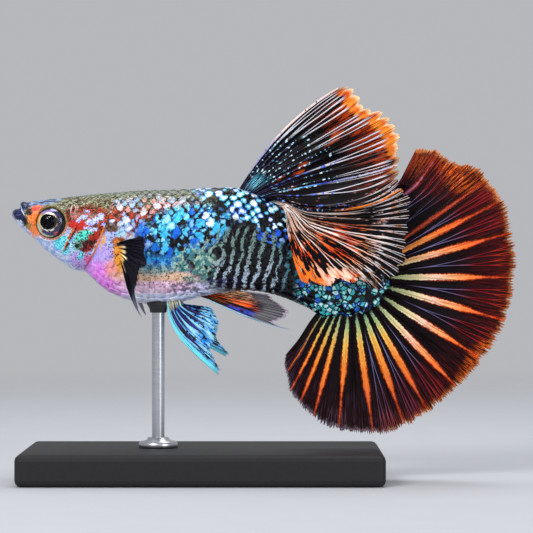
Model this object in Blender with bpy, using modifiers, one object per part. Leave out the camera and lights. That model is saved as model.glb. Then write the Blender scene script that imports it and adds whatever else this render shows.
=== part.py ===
"""A life-size fancy guppy, a male with flowing fins, as a still museum model on a plain display stand.

The fish swims towards -X with its back up. The origin is at floor level, under the middle of its length,
on its plane of symmetry. The body is one smooth form, parted into head, torso and tail along the gill
opening and the end of the body cavity. Every fin is a thin sheet whose rays stand up as ridges.
"""

import math

import bmesh
import bpy
import numpy as np
from mathutils import Matrix, Vector

MM = 0.001

# Driving dimensions
TOTAL_LENGTH = 48.22 * MM       # lower lip to the rearmost edge of the tail fin
BASE_THICK = 3.0 * MM           # the stand's plate
TAIL_CLEARANCE = 1.0 * MM       # between the plate and the lowest edge of the tail fin
TAIL_DROP = 21.2 * MM           # lowest edge of the tail fin under the tip of the lower lip
GAP = 0.3 * MM                  # between pieces that touch

# The tip of the lower lip, from which the fish is measured backwards and upwards
LIP_X = -TOTAL_LENGTH / 2
LIP_Z = BASE_THICK + TAIL_CLEARANCE + TAIL_DROP

# Profile of the body: distance behind the lip, and height over it
BACK = [(0.9, 0.9), (1.6, 1.12), (3.2, 1.38), (5.4, 1.62), (8.3, 1.92), (11.5, 2.14), (16.0, 2.26),
        (19.5, 2.4), (21.4, 2.4), (24.2, 1.4), (26.6, 0.15), (29.2, -1.3), (31.8, -2.5)]
BELLY = [(0.3, -0.75), (0.55, -0.98), (1.1, -1.52), (1.8, -2.12), (3.2, -3.42), (4.7, -4.52), (5.8, -5.26),
         (6.5, -5.43), (7.05, -5.55), (7.6, -6.0), (8.3, -6.63), (9.1, -7.22), (10.4, -7.85), (13.0, -8.48),
         (14.8, -8.48), (18.3, -7.75), (20.7, -7.28), (22.6, -7.08), (25.1, -7.5), (27.2, -8.22),
         (28.9, -8.95)]
# Half of the body's width, against the distance behind the lip
HALF_WIDTH = [(0.5, 1.05), (1.2, 1.35), (2.4, 1.8), (4.0, 2.25), (6.5, 2.7), (9.5, 2.95), (14.0, 3.0),
              (18.0, 2.75), (22.0, 2.3), (26.0, 1.75), (29.5, 1.15), (32.0, 0.5)]
# Where the rings that cross the body meet its belly and back, and how far they bow back between them
RINGS = [  # share of the body, belly end, back end, bow
    (0.00, 0.55, 1.15, 0.0),    # mouth
    (0.10, 2.9, 3.5, 0.0),
    (0.24, 6.9, 9.6, 0.65),     # gill opening
    (0.45, 13.6, 14.2, 0.1),
    (0.75, 22.4, 24.2, 0.0),    # end of the body cavity
    (1.00, 28.9, 31.8, 0.0),    # root of the tail fin
]
GILL = 0.24
CAVITY_END = 0.75
GILL_COVER_LIFT = 0.2 * MM      # how far the gill cover's rear edge stands off the shoulder

# Root of the tail fin: an arc round the point where its rays meet
FAN_CENTRE = Vector((32.2 * MM, -6.0 * MM))
FAN_ROOT_RADIUS = 3.4 * MM
FAN_ROOT_TOP = 95.0             # degrees above the line straight back
FAN_ROOT_BOTTOM = -137.0
FAN_ROOT_HALF_THICK = 0.4 * MM

# Eyes
EYE_CENTRE = Vector((3.86 * MM, 1.62 * MM, -0.88 * MM))
EYE_RADIUS = 1.45 * MM
EYE_HALF_DEPTH = 1.0 * MM
EYE_TURN = 10.0                 # degrees by which each eye looks forward of straight out
ORBIT_RIM = 0.22 * MM           # radius of the raised rim round the socket

# Lips: where each meets the corner of the mouth and the front, and its radius at the corner and the front
MOUTH_CORNER = (1.65, 1.15, -0.5)
UPPER_LIP = ((1.12, 0.86), (0.27, 0.35))
LOWER_LIP = ((0.53, -0.02), (0.34, 0.54))
CHIN = ((0.68, -0.48), (0.3, 0.42))
MOUTH_LINE = ((0.97, 0.53), (0.14, 0.19))

# Fins: thickness of the membrane between the rays, at a ray, and at the outer edge
MEMBRANE = 0.5 * MM
RAY = 0.72 * MM
EDGE = 0.3 * MM
NOTCH = 0.03                    # how far the membrane falls short of the ray tips, as a share of a ray

# Stand
BASE_LENGTH = 34.0 * MM
BASE_WIDTH = 20.0 * MM
BASE_X = -6.0 * MM
BASE_BEVEL = 0.6 * MM
ROD_RADIUS = 0.6 * MM
ROD_BEHIND_LIP = 13.9 * MM

COLOURS = {  # base colour, metallic, roughness
    "head": ((0.42, 0.36, 0.30), 0.2, 0.35),
    "torso": ((0.16, 0.42, 0.55), 0.3, 0.35),
    "tail": ((0.08, 0.10, 0.12), 0.3, 0.4),
    "eye": ((0.05, 0.05, 0.10), 0.0, 0.08),
    "fin": ((0.10, 0.04, 0.02), 0.1, 0.4),
    "pelvic": ((0.10, 0.45, 0.75), 0.2, 0.35),
    "stand_plate": ((0.04, 0.04, 0.045), 0.0, 0.45),
    "stand_steel": ((0.55, 0.56, 0.58), 1.0, 0.3),
}


def clear_scene():
    for old in list(bpy.data.objects):
        bpy.data.objects.remove(old, do_unlink=True)


def material(name):
    colour, metallic, roughness = COLOURS[name]
    made = bpy.data.materials.get(name) or bpy.data.materials.new(name)
    made.use_nodes = True
    shader = made.node_tree.nodes["Principled BSDF"]
    shader.inputs["Base Color"].default_value = (*colour, 1.0)
    shader.inputs["Metallic"].default_value = metallic
    shader.inputs["Roughness"].default_value = roughness
    return made


def ease(low, high, value):
    """0 up to low, 1 from high, and a smooth step between them."""
    share = np.clip((np.asarray(value, float) - low) / (high - low), 0.0, 1.0)
    return share * share * (3.0 - 2.0 * share)


def curve_through(stations, column, value):
    """A smooth curve through one column of the stations, against their first column."""
    table = np.array(stations, float)
    x, y = table[:, 0], table[:, column]
    steps = np.diff(y) / np.diff(x)
    slope = np.empty_like(y)
    slope[1:-1] = (steps[:-1] * np.diff(x)[1:] + steps[1:] * np.diff(x)[:-1]) / (x[2:] - x[:-2])
    slope[0], slope[-1] = steps[0], steps[-1]
    value = np.clip(np.asarray(value, float), x[0], x[-1])
    i = np.clip(np.searchsorted(x, value) - 1, 0, len(x) - 2)
    span = x[i + 1] - x[i]
    t = (value - x[i]) / span
    return (
        (1 + 2 * t) * (1 - t) ** 2 * y[i]
        + t * (1 - t) ** 2 * span * slope[i]
        + t * t * (3 - 2 * t) * y[i + 1]
        + t * t * (t - 1) * span * slope[i + 1]
    )


def root_radius(angle):
    """Distance of the tail fin's root from the fan's centre: it opens out towards the lower corner."""
    return FAN_ROOT_RADIUS * (1.0 + 0.33 * ease(100.0, 137.0, -np.asarray(angle, float)))


def fan_root(angle, beyond=0.0):
    """A point on the root of the tail fin, or beyond it, in the side view."""
    turn = np.radians(angle)
    reach = root_radius(angle) + beyond
    return FAN_CENTRE.x + reach * np.cos(turn), FAN_CENTRE.y + reach * np.sin(turn)


def ring(share, height):
    """Where the ring at that share of the body passes, from its belly end (height -1) to its back end (1).
    Returns the distance behind the lip, the height over it, and half of the body's width there."""
    height = np.asarray(height, float)
    low_x = float(curve_through(RINGS, 1, share))
    high_x = float(curve_through(RINGS, 2, share))
    low_z = float(curve_through(BELLY, 1, low_x))
    high_z = float(curve_through(BACK, 1, high_x))
    up = (height + 1.0) / 2.0
    x = (low_x + (high_x - low_x) * up + float(curve_through(RINGS, 3, share)) * (1.0 - height**2)) * MM
    z = (low_z + (high_z - low_z) * up) * MM
    # towards the tail the rings swell into the round root of the fin
    swell = float(ease(CAVITY_END - 0.1, 1.0, share)) ** 1.5
    angle = FAN_ROOT_BOTTOM + (FAN_ROOT_TOP - FAN_ROOT_BOTTOM) * up
    root_x, root_z = fan_root(angle)
    x = x * (1.0 - swell) + root_x * swell
    z = z * (1.0 - swell) + root_z * swell
    # the section is an oval, a little square at the top of the head, and flat at the fin's root
    fullness = np.where(height > 0, 2.5 - 0.5 * ease(0.1, 0.5, share), 2.05)
    side = np.sqrt(np.clip(1.0 - np.abs(height) ** fullness, 0.0, 1.0))
    middle = (low_x + high_x) / 2.0
    width = float(curve_through(HALF_WIDTH, 1, middle)) * MM * side
    flat = FAN_ROOT_HALF_THICK * np.clip((1.0 - np.abs(height)) * 12.0, 0.0, 1.0)
    flatten = float(ease(0.86, 1.0, share))
    return x, z, width * (1.0 - flatten) + flat * flatten


def fish_point(x, y, z):
    """From distances behind and over the lip to the part's own frame."""
    return Vector((LIP_X + x, y, LIP_Z + z))


def mesh_object(name, points, faces, finish):
    mesh = bpy.data.meshes.new(name)
    mesh.from_pydata([tuple(p) for p in points], [], faces)
    mesh.validate()
    made = bpy.data.objects.new(name, mesh)
    made.data.materials.append(material(finish))
    parts.objects.link(made)
    work = bmesh.new()
    work.from_mesh(mesh)
    bmesh.ops.recalc_face_normals(work, faces=work.faces)
    work.to_mesh(mesh)
    work.free()
    mesh.shade_smooth()
    mesh.set_sharp_from_angle(angle=math.radians(50))
    return made


def body_length(name, shares, steps, finish, widen=None):
    """A length of the body: rings of 2 * steps points, closed across by strips that run from side to side."""
    turns = np.linspace(-math.pi / 2, math.pi / 2, steps + 1)
    heights = np.sin(turns)
    points, faces = [], []
    for share in shares:
        x, z, width = ring(share, heights)
        if widen is not None:
            width = width + widen(share, heights)
        left = [fish_point(x[k], -width[k], z[k]) for k in range(steps + 1)]
        right = [fish_point(x[k], width[k], z[k]) for k in range(steps - 1, 0, -1)]
        points += left + right
    around = 2 * steps
    for i in range(len(shares) - 1):
        for k in range(around):
            a, b = i * around + k, i * around + (k + 1) % around
            faces.append((a, b, b + around, a + around))
    for start in (0, (len(shares) - 1) * around):
        for k in range(steps):
            corners = [k, k + 1, (around - k - 1) % around, (around - k) % around]
            kept = list(dict.fromkeys(start + c for c in corners))
            faces.append(tuple(kept))
    return mesh_object(name, points, faces, finish)


def combine(target, others, operation):
    """Joins the closed meshes to the target, or cuts them from it, with one Boolean that is applied."""
    helpers = bpy.data.collections.new("helpers")
    for other in others:
        helpers.objects.link(other)
    change = target.modifiers.new("combine", "BOOLEAN")
    change.operation = operation
    change.operand_type = "COLLECTION"
    change.collection = helpers
    change.solver = "EXACT"
    bpy.context.view_layer.update()
    graph = bpy.context.evaluated_depsgraph_get()
    mesh = bpy.data.meshes.new_from_object(target.evaluated_get(graph))
    target.modifiers.remove(change)
    target.data = mesh
    for other in others:
        bpy.data.objects.remove(other, do_unlink=True)
    bpy.data.collections.remove(helpers)
    keep_largest(target)


def keep_largest(target):
    """Drops whatever a Boolean left loose, so that the piece is one closed surface."""
    work = bmesh.new()
    work.from_mesh(target.data)
    unseen, shells = set(work.verts), []
    while unseen:
        grown, front = set(), [next(iter(unseen))]
        while front:
            vertex = front.pop()
            if vertex in grown:
                continue
            grown.add(vertex)
            front += [edge.other_vert(vertex) for edge in vertex.link_edges]
        unseen -= grown
        shells.append(grown)
    shells.sort(key=len)
    loose = [vertex for shell in shells[:-1] for vertex in shell]
    bmesh.ops.delete(work, geom=loose, context="VERTS")
    work.to_mesh(target.data)
    work.free()


def ellipsoid(name, frame, radii, segments=24, rings=14):
    """An egg with its poles along the second axis of its frame."""
    bpy.ops.mesh.primitive_uv_sphere_add(segments=segments, ring_count=rings, radius=1.0)
    made = bpy.context.object
    made.name = name
    across, depth = radii
    made.data.transform(frame @ Matrix.Diagonal((across, depth, across, 1.0)) @ Matrix.Rotation(math.pi / 2, 4, "X"))
    for collection in list(made.users_collection):
        collection.objects.unlink(made)
    return made


def eye_frame(side):
    """Where an eye sits: its second axis looks out of the head, and its third is upright."""
    centre = fish_point(EYE_CENTRE.x, side * EYE_CENTRE.y, EYE_CENTRE.z)
    return Matrix.Translation(centre) @ Matrix.Rotation(side * math.radians(EYE_TURN), 4, "Z")


def tube(name, centres, radii, upright, sides=10, closed=False):
    """A tube of changing radius along a path that never runs along upright, as a closed mesh."""
    centres = [Vector(c) for c in centres]
    count = len(centres)
    points, faces = [], []
    for i, centre in enumerate(centres):
        before = centres[(i - 1) % count] if closed or i else centre
        after = centres[(i + 1) % count] if closed or i < count - 1 else centre
        along = (after - before).normalized()
        side = along.cross(Vector(upright)).normalized()
        up = side.cross(along).normalized()
        for k in range(sides):
            turn = 2 * math.pi * k / sides
            points.append(centre + (side * math.cos(turn) + up * math.sin(turn)) * radii[i])
    for i in range(count if closed else count - 1):
        for k in range(sides):
            a, b = i * sides + k, i * sides + (k + 1) % sides
            c, d = ((i + 1) % count) * sides + (k + 1) % sides, ((i + 1) % count) * sides + k
            faces.append((a, b, c, d))
    if not closed:
        faces.append(tuple(range(sides)))
        faces.append(tuple(range((count - 1) * sides, count * sides)))
    made = mesh_object(name, points, faces, "head")
    parts.objects.unlink(made)
    return made


def body_half_width():
    """A function that gives half of the body's width at points of the side view, and 0 outside it."""
    samples = []
    for share in np.linspace(0.0, 1.0, 260):
        heights = np.sin(np.linspace(-math.pi / 2, math.pi / 2, 121))
        x, z, width = ring(share, heights)
        samples.append(np.stack([x, z, width], axis=1))
    table = np.concatenate(samples)

    def found(x, z):
        near = ((table[:, 0] - x) ** 2 + (table[:, 1] - z) ** 2) / (0.2 * MM) ** 2
        if near.min() > 1.5:
            return 0.0
        weight = np.exp(-near)
        return float(weight @ table[:, 2] / weight.sum())

    return found


def lip(name, front, radii, steps=20):
    """A rolled lip from one corner of the mouth round the front to the other."""
    centres, widths = [], []
    for k in range(steps + 1):
        turn = math.pi * (k / steps - 0.5)
        near = math.cos(turn) ** 0.7 if k not in (0, steps) else 0.0
        centres.append(fish_point((MOUTH_CORNER[0] + (front[0] - MOUTH_CORNER[0]) * near) * MM,
                                  MOUTH_CORNER[1] * math.sin(turn) * MM,
                                  (MOUTH_CORNER[2] + (front[1] - MOUTH_CORNER[2]) * near) * MM))
        widths.append((radii[0] + (radii[1] - radii[0]) * near) * MM)
    return tube(name, centres, widths, (0, 0, 1))


def head(width_at):
    shares = list(np.linspace(0.0, GILL, 18))

    def gill_cover(share, height):
        rear = ease(0.14, GILL, share)
        return GILL_COVER_LIFT * rear * np.clip(1.0 - height**4, 0.0, 1.0)

    made = body_length("head", shares, 18, "head", widen=gill_cover)
    added = [lip("upper_lip", *UPPER_LIP), lip("lower_lip", *LOWER_LIP), lip("chin", *CHIN, steps=17)]
    for side in (-1, 1):
        rim = []
        for k in range(28):
            turn = 2 * math.pi * (k + 0.3) / 28
            x = EYE_CENTRE.x + (EYE_RADIUS + GAP) * math.cos(turn)
            z = EYE_CENTRE.z + (EYE_RADIUS + GAP) * math.sin(turn)
            rim.append(fish_point(x, side * width_at(x, z), z))
        added.append(tube("orbit_rim", rim, [ORBIT_RIM] * len(rim), (0, 1, 0), sides=8, closed=True))
    combine(made, added, "UNION")
    cutters = [lip("mouth_line", *MOUTH_LINE, steps=17)]
    for side in (-1, 1):
        cutters.append(ellipsoid("socket", eye_frame(side), (EYE_RADIUS + GAP, EYE_HALF_DEPTH + GAP)))
        nostril = Matrix.Translation(fish_point(2.05 * MM, side * 0.85 * MM, 0.95 * MM))
        cutters.append(ellipsoid("nostril", nostril, (0.2 * MM, 0.2 * MM), 10, 6))
    combine(made, cutters, "DIFFERENCE")
    return made


def eyes():
    for side, name in ((-1, "eye_left"), (1, "eye_right")):
        eye = ellipsoid(name, eye_frame(side), (EYE_RADIUS, EYE_HALF_DEPTH), 24, 14)
        eye.data.materials.append(material("eye"))
        eye.data.shade_smooth()
        parts.objects.link(eye)


def shift_ring(share, distance):
    """The share of the body whose ring lies that far behind the one at share."""
    x_here = float(curve_through(RINGS, 2, share)) + float(curve_through(RINGS, 1, share))
    step = 0.001
    x_next = float(curve_through(RINGS, 2, share + step)) + float(curve_through(RINGS, 1, share + step))
    return share + step * distance / ((x_next - x_here) / 2.0 * MM)


def torso():
    shares = np.linspace(shift_ring(GILL, GAP), CAVITY_END, 18)
    return body_length("torso", shares, 16, "torso")


def tail():
    shares = np.linspace(shift_ring(CAVITY_END, GAP), 1.0, 12)
    return body_length("tail", shares, 16, "tail")


def fin(name, rows, finish, half_thick):
    """A thin sheet. rows[i][j] is the point of ray column i at its step j, from root to edge, and half_thick
    is half of its thickness there. Both faces are split into triangles alike."""
    grid = np.array([[tuple(p) for p in row] for row in rows], float)
    along_rays = np.gradient(grid, axis=1)
    across_rays = np.gradient(grid, axis=0)
    normal = np.cross(across_rays, along_rays)
    normal /= np.linalg.norm(normal, axis=2, keepdims=True)
    columns, steps = grid.shape[:2]
    count = columns * steps
    points = [tuple(p) for p in (grid + normal * half_thick[..., None]).reshape(-1, 3)]
    points += [tuple(p) for p in (grid - normal * half_thick[..., None]).reshape(-1, 3)]
    faces = []
    for i in range(columns - 1):
        for j in range(steps - 1):
            a, b = i * steps + j, (i + 1) * steps + j
            halves = [(a, b, b + 1), (a, b + 1, a + 1)]
            faces += halves
            faces += [tuple(count + k for k in reversed(half)) for half in halves]
    border = [i * steps for i in range(columns)]
    border += [(columns - 1) * steps + j for j in range(1, steps)]
    border += [i * steps + steps - 1 for i in range(columns - 2, -1, -1)]
    border += [j for j in range(steps - 2, 0, -1)]
    for k, a in enumerate(border):
        b = border[(k + 1) % len(border)]
        faces += [(a, b, b + count), (a, b + count, a + count)]
    return mesh_object(name, points, faces, finish)


def fin_sheet(name, rays, steps, finish, centreline, spacing=1.0):
    """A fin with that many rays. centreline(share of the fin, share of the ray) gives the sheet's middle.
    Rays are ridges, with one column of membrane between two of them."""
    columns = 2 * rays - 1
    rows = []
    half_thick = np.empty((columns, steps))
    for i in range(columns):
        membrane = i % 2 == 1
        reach = 1.0 - NOTCH if membrane else 1.0
        shares = np.linspace(0.0, 1.0, steps) ** spacing * reach
        rows.append([centreline(i / (columns - 1), share) for share in shares])
        thin = ease(0.72, 1.0, shares)
        ridge = 0.0 if membrane else (RAY - MEMBRANE) * ease(0.02, 0.3, shares)
        half_thick[i] = ((MEMBRANE + ridge) * (1.0 - thin) + EDGE * thin) / 2.0
    return fin(name, rows, finish, half_thick)


# Tail fin: a fan of a little over half a circle. Angle at the outer edge, and radius there.
TAIL_FIN_EDGE = [(-130.0, 9.95), (-125.0, 11.1), (-116.0, 12.85), (-104.0, 14.2), (-88.0, 15.15),
                 (-72.0, 15.5), (-52.0, 14.95), (-36.0, 15.0), (-16.0, 15.65), (8.0, 16.15), (34.0, 16.6),
                 (41.0, 16.3), (48.0, 15.15), (58.0, 14.7), (63.0, 13.9)]
TAIL_FIN_ROOT = (-134.0, 84.0)  # angles at its root
TAIL_FIN_RIPPLE = 0.45 * MM


def caudal_fin():
    edge_low, edge_high = TAIL_FIN_EDGE[0][0], TAIL_FIN_EDGE[-1][0]

    def centreline(share, out):
        root_angle = TAIL_FIN_ROOT[0] + (TAIL_FIN_ROOT[1] - TAIL_FIN_ROOT[0]) * share
        edge_angle = edge_low + (edge_high - edge_low) * share
        angle = root_angle + (edge_angle - root_angle) * float(ease(0.0, 0.7, out))
        start = float(root_radius(root_angle)) + GAP
        reach = start + (float(curve_through(TAIL_FIN_EDGE, 1, edge_angle)) * MM - start) * out
        x = FAN_CENTRE.x + reach * math.cos(math.radians(angle))
        z = FAN_CENTRE.y + reach * math.sin(math.radians(angle))
        ripple = TAIL_FIN_RIPPLE * out**2 * math.sin(2 * math.pi * (3.2 * share + 0.15))
        return fish_point(x, ripple, z)

    return fin_sheet("caudal_fin", 25, 9, "fin", centreline)


# The other fins. For each ray named: share of the fin, angle at which it leaves the body, angle at its tip, and
# where its tip lies, behind and over the lip
BACK_FIN = [
    (0.00, 58.0, 28.0, 31.3, 12.15),
    (0.07, 54.0, 36.0, 32.6, 12.2),
    (0.16, 50.0, 36.0, 33.8, 10.65),
    (0.26, 42.0, 34.0, 35.6, 9.5),
    (0.36, 28.0, 28.0, 37.25, 7.7),
    (0.43, 18.0, 22.0, 37.2, 5.5),
    (0.50, 8.0, 22.0, 36.8, 4.3),
    (0.57, -14.0, 46.0, 36.8, 3.1),
    (0.63, -22.0, 26.0, 37.7, 1.9),
    (0.69, -27.0, 4.0, 38.0, -0.4),
    (0.76, -34.0, -14.0, 37.8, -3.0),
    (0.83, -42.0, -38.0, 36.7, -5.8),
    (0.89, -50.0, -52.0, 34.9, -7.5),
    (0.93, -58.0, -56.0, 32.2, -7.5),
    (0.97, -66.0, -58.0, 29.4, -7.5),
    (1.00, -74.0, -64.0, 27.5, -6.5),
]
BACK_FIN_ROOT = (21.5, 25.7)    # from here to here along the back
BACK_FIN_RISE = 1.2 * MM        # how far a ray that droops stands up before it turns over
BACK_FIN_OFF_FLANK = 0.85 * MM  # from the flank to the middle of the sheet that lies over it
BACK_FIN_SPREAD = 3.0 * MM      # how far the drooping half hangs out to the left

ANAL_FIN = [
    (0.00, -24.0, -8.0, 27.0, -11.1),
    (0.14, -22.0, -20.0, 25.1, -10.55),
    (0.30, -18.0, -14.0, 26.2, -10.0),
    (0.48, -14.0, -10.0, 26.4, -9.3),
    (0.66, -10.0, -6.0, 25.6, -8.75),
    (0.84, -4.0, -8.0, 24.7, -8.45),
    (1.00, 2.0, -8.0, 24.3, -8.05),
]
ANAL_FIN_ROOT = (17.6, 19.5)

PELVIC_FIN = [
    (0.00, -84.0, -42.0, 19.95, -15.4),
    (0.22, -76.0, -42.0, 19.4, -14.0),
    (0.45, -68.0, -46.0, 18.95, -12.9),
    (0.64, -60.0, -44.0, 19.5, -12.0),
    (0.82, -48.0, -40.0, 19.5, -10.9),
    (1.00, -32.0, -34.0, 19.1, -9.7),
]
PELVIC_FIN_ROOT = (14.7, 16.0)
PELVIC_FIN_ASIDE = 0.62 * MM    # of the root from the middle of the belly
PELVIC_FIN_SPLAY = 0.16         # how far a ray stands out for its drop
FAR_FIN_SWEEP = 12.0            # degrees by which the right pelvic fin is laid further back than the left
FAR_FIN_LENGTH = 0.93

PECTORAL_FIN = [
    (0.00, 22.0, 10.0, 12.85, -2.15),
    (0.12, 14.0, 2.0, 13.0, -2.9),
    (0.25, 4.0, -10.0, 12.95, -3.7),
    (0.38, -12.0, -24.0, 13.15, -4.85),
    (0.52, -30.0, -42.0, 12.45, -5.3),
    (0.65, -44.0, -58.0, 12.25, -6.3),
    (0.78, -56.0, -72.0, 12.0, -7.7),
    (0.90, -68.0, -58.0, 12.45, -9.3),
    (1.00, -80.0, -48.0, 12.75, -10.0),
]
PECTORAL_FIN_ROOT = ((10.1, -2.85), (10.55, -4.3))
PECTORAL_FIN_SPREAD = 1.5 * MM  # how far its edge stands out from the flank


def ray_path(rays, share, root, out):
    """A point of a ray in the side view: a curve that leaves the root and reaches the tip at the given angles."""
    leave, arrive, tip_x, tip_z = (float(curve_through(rays, k, share)) for k in (1, 2, 3, 4))
    root, tip = Vector(root), Vector((tip_x, tip_z))
    reach = (tip - root).length * 0.36
    turn, end = math.radians(leave), math.radians(arrive)
    first = root + Vector((math.cos(turn), math.sin(turn))) * reach
    second = tip - Vector((math.cos(end), math.sin(end))) * reach
    rest = 1.0 - out
    return (root * rest**3 + first * 3 * out * rest**2 + second * 3 * out**2 * rest + tip * out**3) * MM


def back_fin(width_at):
    def centreline(share, out):
        root_x = BACK_FIN_ROOT[0] + (BACK_FIN_ROOT[1] - BACK_FIN_ROOT[0]) * share
        root_z = float(curve_through(BACK, 1, root_x)) + GAP / MM
        side = ray_path(BACK_FIN, share, (root_x, root_z), out)
        droop = float(ease(0.42, 0.75, share))
        early = min(out / 0.3, 1.0)
        side.y += BACK_FIN_RISE * droop * math.sin(math.pi * early) * (1.0 - early)
        flank = width_at(side.x, side.y) + BACK_FIN_OFF_FLANK
        spread = max(flank, BACK_FIN_SPREAD * float(ease(0.0, 0.5, out)))
        lean = float(ease(0.36, 0.6, share)) * float(ease(0.0, 0.12, out))
        ripple = 0.3 * MM * out * math.sin(2 * math.pi * 3.0 * share)
        return fish_point(side.x, -spread * lean + ripple, side.y)

    return fin_sheet("dorsal_fin", 22, 12, "fin", centreline, spacing=1.35)


def anal_fin():
    def centreline(share, out):
        root_x = ANAL_FIN_ROOT[0] + (ANAL_FIN_ROOT[1] - ANAL_FIN_ROOT[0]) * share
        root_z = float(curve_through(BELLY, 1, root_x)) - GAP / MM
        side = ray_path(ANAL_FIN, share, (root_x, root_z), out)
        ceiling = float(curve_through(BELLY, 1, side.x / MM)) * MM - GAP
        return fish_point(side.x, 0.15 * MM * out * math.sin(7.0 * share), min(side.y, ceiling))

    return fin_sheet("anal_fin", 9, 8, "fin", centreline)


def pelvic_fin(name, side_sign, sweep, length):
    def centreline(share, out):
        root_x = PELVIC_FIN_ROOT[0] + (PELVIC_FIN_ROOT[1] - PELVIC_FIN_ROOT[0]) * share
        root_z = float(curve_through(BELLY, 1, root_x)) - 0.12
        side = ray_path(PELVIC_FIN, share, (root_x, root_z), out) - Vector((root_x, root_z)) * MM
        turn = math.radians(sweep)
        side = Vector((side.x * math.cos(turn) - side.y * math.sin(turn),
                       side.x * math.sin(turn) + side.y * math.cos(turn))) * length
        aside = PELVIC_FIN_ASIDE - side.y * PELVIC_FIN_SPLAY
        return fish_point(root_x * MM + side.x, side_sign * aside, root_z * MM + side.y)

    return fin_sheet(name, 7, 8, "pelvic", centreline)


def pectoral_fin(name, side_sign, width_at):
    def centreline(share, out):
        (x1, z1), (x2, z2) = PECTORAL_FIN_ROOT
        root = (x1 + (x2 - x1) * share, z1 + (z2 - z1) * share)
        side = ray_path(PECTORAL_FIN, share, root, out)
        base = width_at(root[0] * MM, root[1] * MM) + GAP + RAY / 2
        flank = width_at(side.x, side.y) + GAP + RAY / 2 + 0.2 * MM * float(ease(0.0, 0.3, out))
        aside = max(flank, base + PECTORAL_FIN_SPREAD * out)
        return fish_point(side.x, side_sign * aside, side.y)

    return fin_sheet(name, 9, 9, "fin", centreline)


def stand():
    bpy.ops.mesh.primitive_cube_add(size=1.0, location=(BASE_X, 0.0, BASE_THICK / 2))
    plate = bpy.context.object
    plate.name = "stand_base"
    plate.scale = (BASE_LENGTH, BASE_WIDTH, BASE_THICK)
    bpy.ops.object.transform_apply(location=True, rotation=False, scale=True)
    corners = plate.modifiers.new("corners", "BEVEL")
    corners.width = BASE_BEVEL
    corners.segments = 3
    corners.limit_method = "ANGLE"
    plate.data.materials.append(material("stand_plate"))
    belly = float(curve_through(BELLY, 1, ROD_BEHIND_LIP / MM)) * MM + LIP_Z - GAP
    foot = BASE_THICK + GAP
    bpy.ops.mesh.primitive_cylinder_add(vertices=24, radius=ROD_RADIUS, depth=belly - foot,
                                        location=(LIP_X + ROD_BEHIND_LIP, 0.0, (belly + foot) / 2))
    rod = bpy.context.object
    rod.name = "stand_rod"
    rod.data.materials.append(material("stand_steel"))
    rod.data.shade_smooth()
    for made in (plate, rod):
        for collection in list(made.users_collection):
            collection.objects.unlink(made)
        parts.objects.link(made)


parts = bpy.data.collections.new("fancy_guppy")


def main():
    clear_scene()
    bpy.context.scene.collection.children.link(parts)
    width_at = body_half_width()
    head(width_at)
    eyes()
    torso()
    tail()
    caudal_fin()
    back_fin(width_at)
    anal_fin()
    pelvic_fin("pelvic_fin_left", -1, 0.0, 1.0)
    pelvic_fin("pelvic_fin_right", 1, FAR_FIN_SWEEP, FAR_FIN_LENGTH)
    pectoral_fin("pectoral_fin_left", -1, width_at)
    pectoral_fin("pectoral_fin_right", 1, width_at)
    stand()


main()
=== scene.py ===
"""The looks of a life-size fancy guppy, a male with flowing fins, shown still on a plain display stand.

Lengths of the fish are in millimetres behind and over the tip of its lower lip, as its solids are drawn,
and become metres in the frame only when a mesh is finished.
"""

import math

import bmesh
import bpy
import numpy as np
from mathutils import Matrix, Vector, kdtree


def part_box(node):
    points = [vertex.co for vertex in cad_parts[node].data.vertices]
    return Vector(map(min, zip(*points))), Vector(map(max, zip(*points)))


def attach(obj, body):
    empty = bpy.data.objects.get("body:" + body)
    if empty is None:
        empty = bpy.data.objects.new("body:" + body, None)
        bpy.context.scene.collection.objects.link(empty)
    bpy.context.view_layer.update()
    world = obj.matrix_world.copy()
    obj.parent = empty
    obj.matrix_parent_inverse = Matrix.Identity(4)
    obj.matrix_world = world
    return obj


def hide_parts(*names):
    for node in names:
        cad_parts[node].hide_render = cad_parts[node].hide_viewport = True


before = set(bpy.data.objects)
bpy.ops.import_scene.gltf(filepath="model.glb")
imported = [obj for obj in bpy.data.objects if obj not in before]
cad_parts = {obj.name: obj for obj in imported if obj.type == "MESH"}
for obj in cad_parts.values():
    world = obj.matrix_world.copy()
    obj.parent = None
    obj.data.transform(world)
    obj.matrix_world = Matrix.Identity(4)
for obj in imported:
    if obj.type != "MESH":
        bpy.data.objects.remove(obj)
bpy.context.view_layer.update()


# ---- Skin ----------------------------------------------------------------------------------------
# One unbroken, wet skin over head, trunk and tail. It is drawn as rings round the body, gets its lips, the
# rims of the eye sockets, nostrils and the line of the mouth, and is then melted into a single even surface.
# The scales' depth is left free outside it.
MM = 0.001
LIP_TIP = (-24.11, 25.2)        # where the tip of the lower lip is: along the frame's X, and over the floor
GILL_EDGE = 0.24                # shares of the body's length, counted in rings
CAVITY_END = 0.75
GILL_COVER_LIFT = 0.2
GILL_COVER_START = 0.14
GILL_GROOVE = 0.1
GILL_GROOVE_LENGTH = 0.012
FAN_FLATTENING_START = 0.86
COAT_DEPTH = 0.07               # from the skin up to the faces of the scales
BARE_DEPTH = 0.02               # the same where the head carries no scales
GRAIN = 0.103                   # size of a face of the finished skin

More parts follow.
